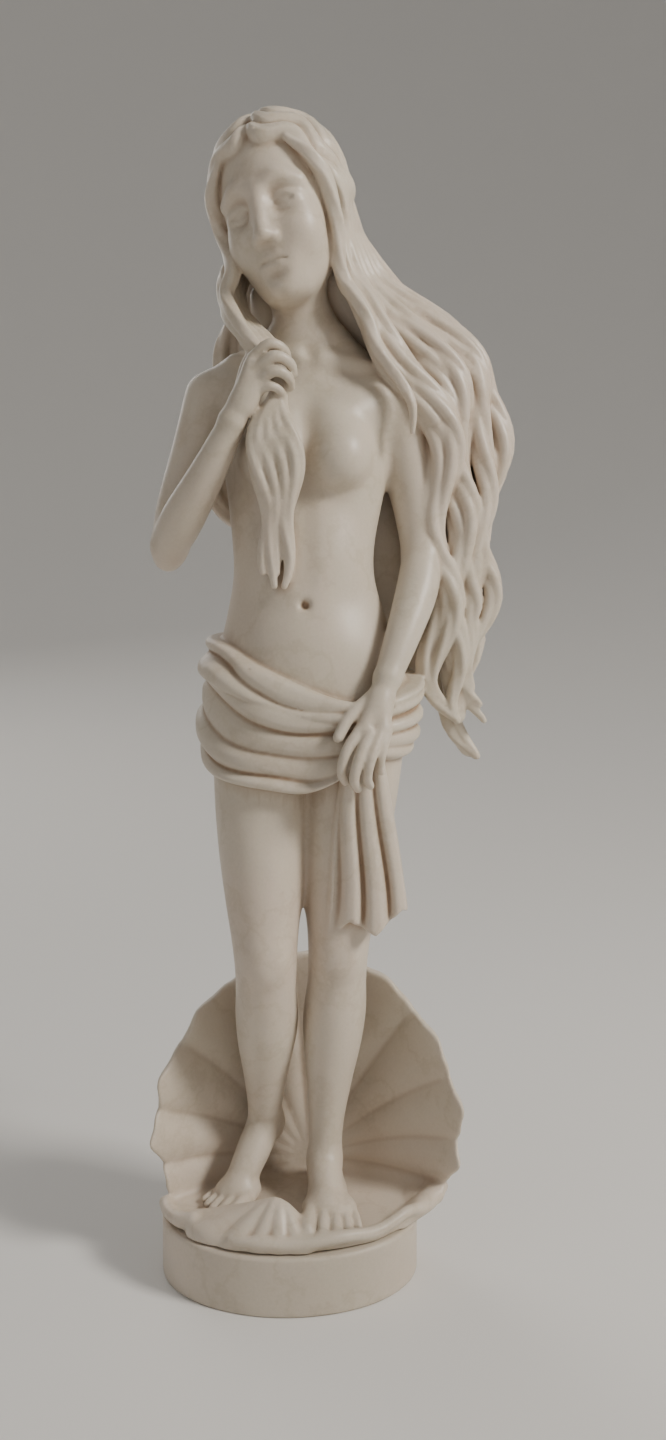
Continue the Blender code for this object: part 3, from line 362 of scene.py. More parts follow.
# Body: the forms are rows of height, centre x, centre y, half width, half depth
TORSO = [
    (104, 4.6, 0.8, 17.5, 11.0),
    (112, 5.0, 1.0, 21.6, 13.0),
    (121, 5.4, 1.2, 22.9, 13.6),
    (131, 5.0, 0.8, 21.4, 12.8),
    (140, 4.2, 0.2, 18.6, 11.4),
    (149, 3.7, 0.0, 16.5, 10.3),
    (157, 3.6, 0.2, 16.6, 10.2),
    (167, 4.0, 0.6, 18.0, 10.8),
    (177, 4.2, 1.0, 19.4, 11.2),
    (185, 4.3, 1.4, 19.8, 10.8),
    (192, 4.6, 2.0, 18.0, 9.2),
    (199, 5.0, 2.4, 12.0, 7.2),
    (205, 5.2, 2.4, 7.4, 6.6),
]
STANDING_LEG = [
    (122, 15.8, 1.4, 10.6, 11.8),
    (111, 15.6, 0.8, 11.6, 12.4),
    (98, 14.6, 0.2, 11.1, 11.8),
    (85, 13.4, -0.6, 10.0, 10.6),
    (74, 12.5, -1.2, 8.7, 9.2),
    (66, 12.0, -1.4, 7.6, 8.2),
    (60, 11.7, -1.0, 7.1, 7.8),
    (54, 11.4, 0.2, 7.0, 7.6),
    (46, 11.0, 1.6, 7.4, 8.1),
    (38, 10.4, 2.2, 6.9, 7.5),
    (28, 9.6, 2.6, 5.4, 5.9),
    (18, 8.9, 3.0, 4.2, 4.7),
    (11, 8.6, 3.2, 4.0, 4.7),
    (5, 8.5, 3.4, 4.2, 5.2),
]
BENT_LEG = [
    (122, -5.6, 1.4, 10.8, 11.8),
    (111, -6.0, 0.2, 11.6, 12.2),
    (98, -6.3, -1.8, 11.0, 11.6),
    (85, -6.1, -4.0, 10.0, 10.4),
    (74, -5.7, -5.6, 8.8, 9.2),
    (66, -5.4, -6.4, 7.8, 8.3),
    (60, -5.2, -6.2, 7.3, 8.0),
    (54, -5.2, -4.6, 7.1, 7.7),
    (46, -5.4, -1.4, 7.3, 8.0),
    (38, -5.6, 1.4, 6.8, 7.3),
    (30, -5.9, 4.0, 5.5, 5.9),
    (22, -6.2, 6.2, 4.4, 4.9),
    (17, -6.4, 7.4, 4.1, 4.7),
]
SEAT = ((14.6, 7.6, 113), (-3.8, 7.4, 112))
SEAT_RADII = (10.2, 8.2, 11)
# Arms: rows of x, y, z and radius
RIGHT_ARM = [
    (-17.6, 1.6, 190.5, 6.6), (-21.4, 1.8, 178, 6.0),
    (-25.4, 1.6, 166, 5.4), (-27.8, 0.4, 156.6, 4.4),
]
RIGHT_FOREARM = [
    (-27.4, -1.0, 156.6, 4.2), (-24.0, -6.2, 161.6, 4.9),
    (-17.8, -11.6, 170.6, 4.1), (-11.6, -15.6, 181.2, 3.0),
]
LEFT_ARM = [
    (25.4, 2.2, 188.5, 6.5), (28.0, 3.2, 176, 5.9),
    (30.4, 3.6, 164, 5.2), (31.6, 3.2, 154.6, 4.7),
]
LEFT_FOREARM = [
    (31.6, 2.4, 154.8, 4.6), (30.0, -2.0, 146, 4.9),
    (26.6, -7.4, 136, 4.1), (22.8, -12.0, 126, 3.1),
]
# Masses of hair under the locks: beside the left shoulder, behind the nape and down the back
HAIR_MASSES = [[
    (114, 41, 7.5, 1.6, 1.6),
    (123, 40, 7.5, 3.0, 2.2),
    (134, 39.5, 7.5, 4.2, 2.6),
    (147, 41, 8.0, 5.2, 3.0),
    (160, 40, 8.5, 5.6, 3.2),
    (173, 39, 9.0, 7.0, 3.4),
    (187, 38, 9.4, 11.4, 3.8),
    (198, 32, 9.4, 14.6, 4.2),
    (208, 23, 8.6, 16.0, 5.0),
    (218, 12, 7.0, 13.6, 6.6),
    (228, 2, 5.4, 10.4, 8.6),
], [
    (165, -4, 12.4, 5, 2.0),
    (174, 0, 12.6, 10.0, 2.2),
    (186, 3, 11.8, 14.0, 3.4),
    (198, 4, 10.4, 14.0, 4.4),
    (208, 3, 8.6, 12.0, 5.6),
    (218, 1.2, 6.5, 10.6, 7.0),
], [
    (127, 32, 10.0, 3.5, 1.4),
    (136, 28, 10.6, 7.0, 1.8),
    (147, 23, 11.4, 11.0, 2.1),
    (159, 18, 12.0, 15.0, 2.3),
    (171, 15, 12.2, 19.0, 2.5),
    (184, 13, 11.8, 22.0, 3.0),
    (194, 12, 11.0, 22.0, 3.2),
]]
# Fingers and toes: a radius each, then rows of x, y, z
RIGHT_FINGERS = [
    (1.35, [(-7.0, -17.0, 195.0), (-3.2, -18.4, 197.6), (-0.2, -16.9, 196.8), (0.6, -14.4, 195.0)]),
    (1.4, [(-6.2, -17.6, 192.6), (-2.0, -19.2, 194.8), (1.2, -17.5, 193.7), (1.8, -15.0, 192.0)]),
    (1.3, [(-5.9, -17.7, 190.2), (-1.9, -19.1, 191.7), (0.9, -17.4, 190.7), (1.3, -15.1, 189.2)]),
    (1.1, [(-6.2, -17.2, 187.8), (-3.0, -18.3, 188.7), (-0.8, -16.9, 187.9), (-0.6, -15.2, 186.7)]),
    (1.5, [(-10.0, -14.6, 188.0), (-8.6, -13.0, 194.4), (-6.0, -12.6, 199.0)]),
]
LEFT_FINGERS = [
    (1.35, [(16.4, -17.2, 114.4), (13.4, -19.4, 109.8), (12.3, -18.8, 105.4), (13.2, -16.4, 102.9)]),
    (1.4, [(18.6, -17.8, 113.6), (16.2, -20.2, 108.4), (15.1, -19.6, 103.8), (16.0, -17.0, 101.4)]),
    (1.3, [(20.8, -17.5, 113.6), (18.9, -19.9, 108.6), (18.0, -19.2, 104.2), (18.7, -16.8, 102.0)]),
    (1.1, [(22.8, -16.4, 114.6), (21.5, -18.5, 110.2), (20.9, -18.0, 106.6), (21.2, -16.2, 104.9)]),
    (1.5, [(19.0, -13.4, 121.6), (14.4, -16.0, 117.6), (11.6, -18.0, 112.8)]),
]
STANDING_TOES = [
    (2.0, [(5.4, -11.6, 2.4), (5.0, -14.6, 2.3), (4.8, -17.8, 1.8)]),
    (1.45, [(8.3, -12.6, 2.6), (8.3, -15.8, 2.5), (8.2, -18.6, 1.5)]),
    (1.35, [(10.8, -12.2, 2.4), (11.1, -15.2, 2.3), (11.2, -17.8, 1.4)]),
    (1.25, [(13.0, -11.0, 2.2), (13.6, -14.0, 2.1), (13.9, -16.2, 1.3)]),
    (1.15, [(14.9, -9.2, 1.9), (15.7, -12.0, 1.8), (16.2, -14.2, 1.1)]),
]
RESTING_TOES = [
    (1.9, [(-9.6, -4.4, 2.5), (-11.0, -7.0, 2.3), (-12.6, -9.4, 1.8)]),
    (1.35, [(-12.4, -4.6, 2.5), (-14.2, -7.0, 2.4), (-15.6, -9.0, 1.5)]),
    (1.25, [(-14.4, -3.4, 2.4), (-16.2, -5.6, 2.2), (-17.7, -7.2, 1.4)]),
    (1.15, [(-16.0, -1.8, 2.2), (-17.8, -3.8, 2.0), (-19.2, -5.2, 1.3)]),
    (1.05, [(-17.2, 0.2, 1.9), (-18.8, -1.4, 1.7), (-20.2, -2.6, 1.2)]),
]


def carve_body(clay):
    clay.add(column(TORSO), 4)
    clay.add(column(STANDING_LEG), 3)
    clay.add(column(BENT_LEG), 3)
    # Belly, seat and groin
    clay.add(ball((4.2, -5.4, 130), (12.5, 7.8, 14)), 5)
    clay.add(ball((4.4, -4.0, 152), (11.0, 7.2, 13)), 5)
    for place in SEAT:
        clay.add(ball(place, SEAT_RADII), 4)
    clay.add(ball((5.0, -6.2, 113.5), (6.5, 5.0, 6.5)), 4)
    # Knees and calves
    for knee in ((11.7, -6.6, 61.5), (-5.1, -12.2, 61.5)):
        clay.add(ball(knee, (3.6, 2.3, 4.6)), 4)
    for calf in ((9.4, 5.2, 47), (-4.2, 2.8, 46)):
        clay.add(ball(calf, (4.6, 4.8, 10)), 3)
    # Neck and shoulders
    clay.add(bone((5.6, 2.6, 196), (0.8, 0.4, 224), 6.4, 6.1), 4)
    clay.add(bone((5.2, 4.2, 207), (-12.5, 2.8, 196), 3.6, 4.6), 6)
    clay.add(bone((5.2, 4.2, 207), (20.5, 3.2, 194.5), 3.6, 4.6), 6)
    # Breasts
    clay.add(bone((10.4, -7.2, 184), (20.5, -1.0, 189), 3.0, 4.4), 6)
    clay.add(bone((-1.6, -7.2, 185), (-12.2, -1.0, 191), 3.0, 4.4), 6)
    for x, z in ((11.6, 175.6), (-3.2, 176.8)):
        clay.add(ball((x, -8.4, z + 0.4), (7.2, 7.2, 7.6)), 4)
        clay.add(ball((x, -9.4, z - 1.4), (6.0, 6.0, 5.4)), 2.4)
    # Collar bones and the notch between them
    clay.add(bone((7.6, -5.0, 198.4), (20.5, -1.6, 196.6), 0.9, 1.1), 3.4)
    clay.add(bone((2.8, -5.0, 198.8), (-12.0, -1.6, 198.6), 0.9, 1.1), 3.4)
    clay.cut(ball((5.2, -7.8, 200.2), (1.8, 1.8, 1.8)), 2.4)
    # Navel, front line, spine and cleft
    clay.cut(bone((4.2, -14.4, 142.6), (4.2, -11.2, 142.0), 0.8, 0.9), 1.6)
    clay.cut(bone((4.2, -13.0, 168), (4.2, -14.2, 148), 0.9), 4)
    clay.cut(bone((4.6, 13.8, 186), (4.9, 12.6, 150), 1.4), 5)
    clay.cut(bone((4.9, 12.6, 150), (5.3, 16.0, 124), 1.4), 5)
    clay.cut(bone((5.4, 17.0, 122), (5.2, 12.0, 104), 1.0), 3)


def carve_digits(clay, digits):
    for radius, points in digits:
        rows = [list(point) + [radius * (1.0 - 0.08 * i)] for i, point in enumerate(points)]
        clay.add(tube(rows, 3), 0.5)


def carve_arms(clay):
    clay.add(tube(RIGHT_ARM), 3)
    clay.add(tube(LEFT_ARM), 3)
    clay.add(tube(RIGHT_FOREARM), 1.6)
    clay.add(tube(LEFT_FOREARM), 1.6)
    # Points of the elbows
    clay.add(ball((-28.4, 1.4, 153.2), (2.5, 2.7, 2.4)), 3)
    clay.add(ball((33.4, 4.8, 153.6), (2.4, 2.6, 2.6)), 3)
    # Right hand, closed round a lock of hair
    clay.add(bone((-11.5, -15.8, 182.2), (-8.6, -16.6, 187.0), 2.9, 2.6), 1.5)
    clay.add(bone((-9.4, -16.4, 186.0), (-7.0, -17.0, 193.4), 2.4, 2.0), 1.5)
    clay.add(bone((-8.6, -16.4, 185.0), (-6.2, -17.2, 189.0), 2.4, 2.0), 1.5)
    carve_digits(clay, RIGHT_FINGERS)
    # Left hand, gathering the cloth
    clay.add(bone((22.6, -12.2, 125.6), (20.6, -14.4, 119.6), 2.9, 2.6), 1.5)
    clay.add(bone((20.4, -14.0, 121.0), (17.4, -16.8, 114.6), 2.5, 1.9), 1.5)
    clay.add(bone((21.6, -13.4, 121.0), (21.4, -16.4, 114.8), 2.5, 1.9), 1.5)
    carve_digits(clay, LEFT_FINGERS)


def carve_feet(clay):
    # The foot that carries the weight
    clay.add(ball((8.3, 5.4, 4.0), (4.2, 5.4, 4.6)), 2)
    clay.add(tube([(8.3, 1.4, 9.0, 4.1), (8.8, -3.6, 5.6, 4.0), (9.2, -8.6, 3.4, 3.0)]), 2)
    clay.add(ball((9.6, -8.8, 2.6), (6.4, 5.2, 2.7)), 2)
    clay.add(ball((9.2, -2.0, 2.6), (4.8, 9.0, 3.2)), 2)
    carve_digits(clay, STANDING_TOES)
    clay.add(tube([(5.4, -16.4, 0.5, 1.0), (10.6, -16.6, 0.5, 1.0), (15.6, -13.2, 0.5, 1.0)]), 0.8)
    # The turned-out foot, its heel raised
    clay.add(ball((-5.6, 10.6, 14.2), (4.0, 4.6, 4.6)), 2)
    clay.add(tube([(-6.2, 8.2, 16.0, 4.2), (-9.0, 3.6, 10.4, 4.1), (-12.0, -0.8, 4.6, 3.5)]), 2)
    clay.add(ball((-12.3, -1.4, 3.0), (5.6, 4.6, 3.0)), 2)
    carve_digits(clay, RESTING_TOES)


# Head, turned to the viewer's left, leaning to that side and bowed. Its own axes: +Z crown, -Y face
HEAD_TURN = Euler((math.radians(14), math.radians(-11), math.radians(-22)), "XYZ").to_matrix()
HEAD = Frame((-1.0, -2.4, 231.8), HEAD_TURN, 1.08)
CAP_CENTRE = np.array((0.0, 2.2, 4.0))
CAP_RADII = np.array((14.0, 16.6, 15.2))
EAR = np.array((0.86, 0.12, -0.50)) / math.sqrt(0.86 ** 2 + 0.12 ** 2 + 0.50 ** 2)
HAIRLINE = np.array((0.0, -0.80, 0.60))
FRONT = HAIRLINE - (HAIRLINE @ EAR) * EAR
AHEAD = FRONT / np.linalg.norm(FRONT)
ABOVE = np.cross(AHEAD, EAR)


def eyelid(side, upper):
    """A thin rounded lid that lies on the eyeball and ends in a curved edge."""

    def distance(x, y, z):
        px = side * x - 4.6
        pz = z + 0.9
        shell = norm(0.84 * px, y + 9.9, 1.12 * pz) - 3.42
        if upper:
            gap = 0.95 - 0.15 * px * px + 0.05 * px - pz
        else:
            gap = pz + 0.95 - 0.11 * px * px
        return smooth_max(shell, gap, 0.3)

    middle = np.array((side * 4.6, -9.9, -0.9))
    return Shape(middle - 4.2, middle + 4.2, distance)


def carve_head(clay):
    clay.add(ball((0, 1.6, 4), (11.9, 15.0, 14.2)), 2, HEAD)
    clay.add(ball((0, -4.4, -5.0), (9.6, 9.9, 13.6)), 5, HEAD)
    clay.add(ball((0, -11.2, -16.0), (3.4, 3.3, 2.9)), 3.5, HEAD)
    for s in (-1, 1):
        # Cheek, jaw, brow and socket
        clay.add(ball((s * 5.4, -9.2, -6.6), (4.0, 4.2, 4.8)), 4, HEAD)
        clay.add(bone((s * 7.2, 0, -9), (s * 3.0, -8.4, -15.6), 3.0, 2.6), 4, HEAD)
        brow = [(s * 1.6, -13.3, 2.6, 0.9), (s * 4.8, -13.0, 3.8, 0.9), (s * 8.4, -10.4, 2.2, 0.7)]
        clay.add(tube(brow), 2.5, HEAD)
        clay.cut(ball((s * 4.8, -15.8, -0.6), (4.0, 4.2, 2.9)), 2.0, HEAD)
        # Eyeball, lids and the crease above the upper lid
        clay.add(ball((s * 4.6, -9.9, -0.9), (3.3, 2.85, 2.5)), 0.3, HEAD)
        clay.add(eyelid(s, True), 0.25, HEAD)
        clay.add(eyelid(s, False), 0.5, HEAD)
        crease = [(s * 2.4, -13.2, 0.3, 0.1), (s * 4.4, -13.5, 1.75, 0.32), (s * 7.4, -12.0, 0.7, 0.14)]
        clay.cut(tube(crease, 5), 0.4, HEAD)
        # Side of the nose, its wing and nostril
        clay.add(bone((s * 0.8, -12.6, 1.6), (s * 1.3, -14.2, -6.4), 1.0, 1.3), 1.8, HEAD)
        clay.add(ball((s * 1.85, -14.6, -7.0), (1.05, 1.5, 1.05)), 0.7, HEAD)
        clay.cut(ball((s * 1.0, -15.6, -8.1), (0.5, 0.8, 0.5)), 0.4, HEAD)
    clay.add(bone((0, -13.2, 3.0), (0, -16.3, -5.8), 1.0, 1.2), 1.8, HEAD)
    clay.add(ball((0, -16.5, -6.5), (1.4, 1.2, 1.25)), 1.0, HEAD)
    clay.cut(ball((0, -15.9, -9.2), (0.55, 0.8, 1.1)), 0.9, HEAD)
    # Mouth: two lips on a low mound, and the line between them
    clay.add(ball((0, -11.7, -11.4), (4.5, 2.6, 3.6)), 3.0, HEAD)
    for s in (-1, 1):
        bow = [(0, -14.2, -10.8, 0.5), (s * 1.2, -14.3, -10.45, 0.62), (s * 3.8, -13.0, -11.5, 0.28)]
        clay.add(tube(bow, 5), 0.7, HEAD)
    lower_lip = [(-3.5, -12.9, -11.8, 0.28), (-1.5, -13.9, -12.3, 0.72), (0, -14.1, -12.4, 0.82),
                 (1.5, -13.9, -12.3, 0.72), (3.5, -12.9, -11.8, 0.28)]
    clay.add(tube(lower_lip, 5), 0.7, HEAD)
    parting = [(-3.5, -13.5, -11.55, 0.16), (-1.4, -14.7, -11.35, 0.38), (0, -14.9, -11.5, 0.4),
               (1.4, -14.7, -11.35, 0.38), (3.5, -13.5, -11.55, 0.16)]
    clay.cut(tube(parting, 5), 0.4, HEAD)
    clay.cut(ball((0, -15.2, -14.3), (2.4, 1.2, 0.8)), 1.8, HEAD)


def on_cap(way, lift, radius):
    """The point of the hair's outside that lies that way from the middle of the head, and a radius."""
    direction = np.array(way, float)
    direction /= np.linalg.norm(direction)
    return (*HEAD.outside(CAP_CENTRE + CAP_RADII * direction * (1 + lift)), radius)


def combed():
    """Hair combed from the middle parting over the ears, in wavy locks that fan out from each ear."""

    def distance(x, y, z):
        px = x - CAP_CENTRE[0]
        py = y - CAP_CENTRE[1]
        pz = z - CAP_CENTRE[2]
        rx, ry, rz = CAP_RADII
        near = norm(px / rx, py / ry, pz / rz) + 1e-6
        steep = norm(px / rx ** 2, py / ry ** 2, pz / rz ** 2)
        away = near * (near - 1.0) / np.maximum(steep, 1e-6)
        dx = np.abs(px) / rx / near
        dy = py / ry / near
        dz = pz / rz / near
        polar = np.arccos(np.clip(dx * EAR[0] + dy * EAR[1] + dz * EAR[2], -1, 1))
        up = dx * ABOVE[0] + dy * ABOVE[1] + dz * ABOVE[2]
        forward = dx * AHEAD[0] + dy * AHEAD[1] + dz * AHEAD[2]
        fan = np.arctan2(up, forward)
        fan = np.where(fan < -1.6, fan + 2 * math.pi, fan)
        wavy = fan + 0.10 * np.sin(7.5 * polar + 0.8) * np.clip(polar * 1.5, 0, 1)
        strength = np.clip(np.sin(polar) * 1.3, 0, 1)
        rise = COMBED_RELIEF * strength * (ridge(wavy * COMBED_LOCKS / math.pi) - 0.5)
        fine = ridge(3 * wavy * COMBED_LOCKS / math.pi + 0.4 * np.sin(9 * polar)) - 0.5
        rise = rise + 0.30 * COMBED_RELIEF * strength * fine
        rise = rise - 0.9 * np.exp(-(px / 0.9) ** 2) * (dz > 0.2)
        front = (0.02 - wavy) * 11.0
        below = (wavy - 4.1) * 10.0
        return smooth_max(smooth_max(away - rise, front, 1.6), below, 1.5)

    return Shape(CAP_CENTRE - CAP_RADII - 2, CAP_CENTRE + CAP_RADII + 2, distance)


def bundle(table):
    """The finer strands that lie round the core of a lock, slowly twisting."""
    along = np.gradient(table[:, :3], axis=0)
    along /= np.linalg.norm(along, axis=1)[:, None]
    out = (table[:, :3] - (BODY_AXIS, 0, 0)) * (1, 1, 0)
    out -= np.sum(out * along, axis=1)[:, None] * along
    out /= np.linalg.norm(out, axis=1)[:, None]
    side = np.cross(along, out)
    run = np.concatenate([[0], np.cumsum(np.linalg.norm(np.diff(table[:, :3], axis=0), axis=1))])
    tubes = []
    for k in range(STRANDS_IN_LOCK):
        turn = 2 * math.pi * k / STRANDS_IN_LOCK + STRAND_TWIST * run
        reach = 0.52 * table[:, 3]
        place = table[:, :3] + reach[:, None] * (np.cos(turn)[:, None] * side + np.sin(turn)[:, None] * out)
        tubes.append(tube_through(np.column_stack([place, 0.55 * table[:, 3]])))
    return tubes


def carve_strand(clay, rows, sway):
    """One tapered lock along a smooth curve. sway is size, length, shift and start height of its waves."""
    table = spline(rows, 6)
    size, length, shift, start = sway
    down = np.clip((start - table[:, 2]) / 30.0, 0, 1)
    table[:, 0] += size * down * np.sin(2 * math.pi * (start - table[:, 2]) / length + shift)
    core = table.copy()
    core[:, 3] *= 0.72
    for part in [tube_through(core)] + bundle(table):
        clay.add(part, STRAND_BLEND)


def carve_hair(clay):
    clay.add(combed(), STRAND_BLEND, HEAD)
    for stations in HAIR_MASSES:
        clay.add(column(stations), 1.0)
    # The fall from the crown down the back, in ten clumps of three strands
    for j in range(10):
        u = j / 9
        edge = max(0.0, u - 0.55) / 0.45
        bottom = 158 - 42 * u ** 1.2 + 5 * math.sin(2.6 * j)
        for k in (-1, 0, 1):
            side = 2.3 * k
            out = 1.0 if k == 0 else 0.0
            w = 2 * u - 1 + 0.075 * k
            lift = 0.045 if k == 0 else 0.015
            rows = [
                on_cap((0.28 * w, 0.30, 0.95), lift, 0.7),
                on_cap((0.52 * w, 0.62, 0.66), lift, 1.5),
                on_cap((0.72 * w, 0.72, 0.16), lift, 1.7),
                on_cap((0.78 * w, 0.66, -0.36), lift, 1.8),
                (-10 + 34 * u + 0.9 * side, 12.6 - 2.5 * edge + out, 212, 2.1),
                (-14 + 51 * u + side, 14.0 - 4.0 * edge + out, 200, 2.3),
                (-16 + 59 * u + side, 15.2 - 5.5 * edge + out, 185, 2.4),
                (-14 + 57 * u + side, 15.2 - 5.2 * edge + out, 168, 2.3),
                (-9 + 51 * u + side, 14.6 - 4.2 * edge + out, 0.5 * (168 + bottom), 2.0),
                (-6 + 47 * u + 0.4 * side, 13.8 - 3.5 * edge + out, bottom + 3 * abs(k), 1.4),
                (-3 + 47 * u, 13.4 - 3.5 * edge + out, bottom - 5, 0.8),
            ]
            size = 2.0 + 0.8 * math.sin(2.1 * j)
            length = 31 + 5 * math.sin(1.7 * j + 1)
            carve_strand(clay, rows, (size, length, 1.1 * j + 0.25 * k, 236))
    # Finer strands on the back of the mass beside the shoulder
    for j in range(5):
        u = j / 4
        rows = [
            (9.0 + 4.0 * u, 12.4 - 1.2 * u, 221, 0.9),
            (16.0 + 10.0 * u, 13.4 - 1.4 * u, 212, 1.6),
            (25.0 + 14.0 * u, 13.6 - 1.8 * u, 203, 1.9),
            (32.0 + 13.0 * u, 13.4 - 2.0 * u, 193, 2.0),
            (36.0 + 11.0 * u, 12.8 - 2.0 * u, 181, 1.9),
            (37.0 + 9.0 * u, 12.0 - 1.6 * u, 169, 1.6),
            (37.0 + 7.0 * u, 11.0 - 1.0 * u, 157, 0.8),
        ]
        carve_strand(clay, rows, (1.3, 30, 1.3 * j, 224))
    # Thick locks that swing out over the left shoulder and fall behind the arm
    for j in range(7):
        u = j / 6
        near = 1.6 * (j % 2)
        tip = 4 * (j % 3)
        rows = [
            on_cap((0.90, -0.56 + 0.80 * u, 0.24 - 0.05 * u), -0.06, 0.7),
            on_cap((1.0, -0.30 + 0.66 * u, -0.18), 0.03, 1.3),
            on_cap((0.95, -0.06 + 0.52 * u, -0.62), 0.03, 1.6),
            (12.8 + 12.2 * u, -3.6 + 10.4 * u - 0.4 * near, 218, 2.1),
            (17.4 + 20.0 * u, -5.0 + 11.8 * u - 0.8 * near, 208.5, 2.4),
            (24.0 + 22.6 * u, -4.8 + 11.8 * u - near, 199, 2.7),
            (30.6 + 19.4 * u, -2.6 + 9.4 * u - near, 187, 2.9),
            (34.4 + 13.0 * u, 0.0 + 6.6 * u - near, 172, 2.8),
            (34.8 + 11.4 * u, 1.8 + 5.0 * u - near, 158, 2.7),
            (34.6 + 12.4 * u, 2.8 + 4.2 * u - near, 145, 2.5),
            (34.2 + 9.8 * u, 3.8 + 3.2 * u - near, 131 + tip, 2.0),
            (35.4 + 7.0 * u, 4.6 + 2.6 * u - 0.6 * near, 121 + tip, 1.5),
            (39.4 + 6.0 * u, 5.0 + 2.4 * u - 0.4 * near, 115 + tip, 0.8),
        ]
        size = 2.3 + 0.6 * math.sin(2 * j)
        length = 36 + 4 * math.sin(1.9 * j)
        carve_strand(clay, rows, (size, length, 0.8 * j, 226))
    # A loose strand from each temple, in front of the ear: one falls on the shoulder, the other joins the
    # lock held in the right hand
    ends = {
        1: [(18.6, -8.0, 204, 1.7), (23.4, -8.8, 197, 1.5), (26.2, -8.6, 189, 1.2), (29, -7.4, 181, 0.7)],
        -1: [(-12.4, -10.2, 208, 1.6), (-8.8, -13.8, 201.5, 1.4), (-4.6, -16.0, 196, 1.0)],
    }
    for s, end in ends.items():
        drop = 217 - 0.5 * s
        rows = [
            on_cap((s * 0.66, -0.86, 0.52), 0.0, 0.8),
            on_cap((s * 0.86, -0.66, 0.10), 0.05, 1.6),
            on_cap((s * 0.92, -0.46, -0.34), 0.05, 1.8),
            (s * 12.4 + 0.4, -7.0, drop, 1.8),
            (s * 14.0 + 0.6, -7.8, drop - 5.5, 1.7),
        ]
        rows += end
        carve_strand(clay, rows, (0.7 + 0.7 * s, 21, 0.9, 232))
    # The lock held in the right hand
    for j in range(4):
        u = j / 3
        rows = [
            on_cap((-0.90, -0.56 + 0.66 * u, 0.24 - 0.05 * u), -0.06, 0.7),
            on_cap((-1.0, -0.30 + 0.52 * u, -0.18), 0.03, 1.4),
            on_cap((-0.92, -0.04 + 0.38 * u, -0.62), 0.03, 1.7),
            (-14.2 + 2.4 * u, -1.6 + 7.0 * u, 217.5, 2.0),
            (-13.2 + 3.0 * u, -5.8 + 6.0 * u, 209.5, 2.2),
            (-8.8 + 3.4 * u, -11.2 + 3.6 * u, 202, 1.9),
            (-4.0 + 2.6 * u, -14.8 + 0.9 * u, 193, 1.5),
            (-3.2 + 3.2 * u, -15.0 + 0.4 * u, 187, 1.6),
            (-5.0 + 6.2 * u, -17.0 + 0.3 * u, 178, 2.1),
            (-6.0 + 6.6 * u, -15.6 + 0.5 * u, 168, 2.1),
            (-3.6 + 5.0 * u, -13.2, 158 - 2 * (j % 2), 1.6),
            (-4.4 + 2.6 * u, -12.6, 149 - 3 * (j % 2), 0.8),
        ]
        carve_strand(clay, rows, (1.4, 25, 0.5 * j, 222))


# Cloth: the share of the way round the hips, with the heights of the upper and the lower edge there
CLOTH_EDGES = [
    (0.0, 119.5, 108.0),
    (0.1, 121.5, 102.0),
    (0.25, 128.0, 100.5),
    (0.38, 135.0, 106.5),
    (0.55, 137.0, 113.5),
    (0.8, 130.0, 109.5),
    (1.0, 121.0, 107.5),
]


def carve_cloth(clay):
    """The cloth wound round the hips, with folds that spread from the left hand across the front."""
    clay = clay.window(*CLOTH_SPACE)
    hips = Clay(clay.axes, clay.step)
    hips.add(column(TORSO), 4)
    hips.add(column(STANDING_LEG), 8)
    hips.add(column(BENT_LEG), 8)
    for place in SEAT:
        hips.add(ball(place, SEAT_RADII), 6)
    hips.add(ball((5.0, -6.0, 106), (10, 6.0, 14)), 8)
    x, y, z = clay.places()
    # The share of the way from the left hand across the front, round the back and to the hand again
    turn = np.arctan2(x - 5.0, 1.0 - y)
    share = (0.95 - turn) / (2 * math.pi)
    share = share - np.floor(share)
    edges = spline(CLOTH_EDGES, 10)
    top = np.interp(share, edges[:, 0], edges[:, 1])
    low = np.interp(share, edges[:, 0], edges[:, 2]) + 0.7 * np.sin(31 * share)
    height = (z - low) / (top - low)
    gather = np.interp(share, [0, 0.06, 0.3, 0.8, 0.94, 1.0], [0.5, 0.8, 1.0, 1.0, 0.8, 0.5])
    lean = 0.35 * np.sin(8.5 * share + 0.6) + 0.16 * np.sin(23 * share + 4 * height)
    phase = 4.3 * np.clip(height, 0, 1) ** 0.85 + 0.9 * share + lean
    size = 1.45 + 0.75 * np.sin(4.1 * np.floor(phase) + 8.0 * share)
    roll = 1.5 * np.clip(1 - ((height - 0.88) / 0.17) ** 2, 0, 1) ** 0.5
    thick = 0.7 + size * fold(phase) * gather + roll
    ends = np.maximum(z - top, low - z)
    cloth = smooth_max(hips.depth - thick, ends, 1.4)
    # The gathered end falls from the left hand in pleats that widen downwards, with a zigzag hem
    drop = np.clip((113.0 - z) / 46.0, -0.2, 1.2)
    middle = 17.0 + 1.8 * drop
    half = 3.4 + 6.4 * np.clip(drop, 0, 1.2) ** 0.7
    across = (x - middle) / half
    bow = np.clip(drop, 0, 1) * (3.0 * across ** 2 + 1.2 * across)
    front = -15.6 + 3.4 * drop + bow
    lean = 1.55 * across + 0.12 * np.sin(6 * drop) + 0.3
    pleat = fold(lean)
    deep = 2.6 * np.clip(0.35 + 0.9 * drop, 0, 1)
    near = front + deep * (1 - pleat) - y
    far = y - front - deep - 1.9
    zigzag = np.abs((lean + 0.5) % 2 - 1)
    hem = 66.5 + 4.6 * zigzag + 1.6 * across
    sides = (np.abs(across) - 1) * half
    tail = smooth_max(smooth_max(np.maximum(near, far), sides, 1.8), np.maximum(hem - z, z - 112), 1.0)
    made = smooth_min(cloth, tail, 1.0)
    clay.depth[...] = smooth_min(clay.depth, made.astype(np.float32), 0.5)


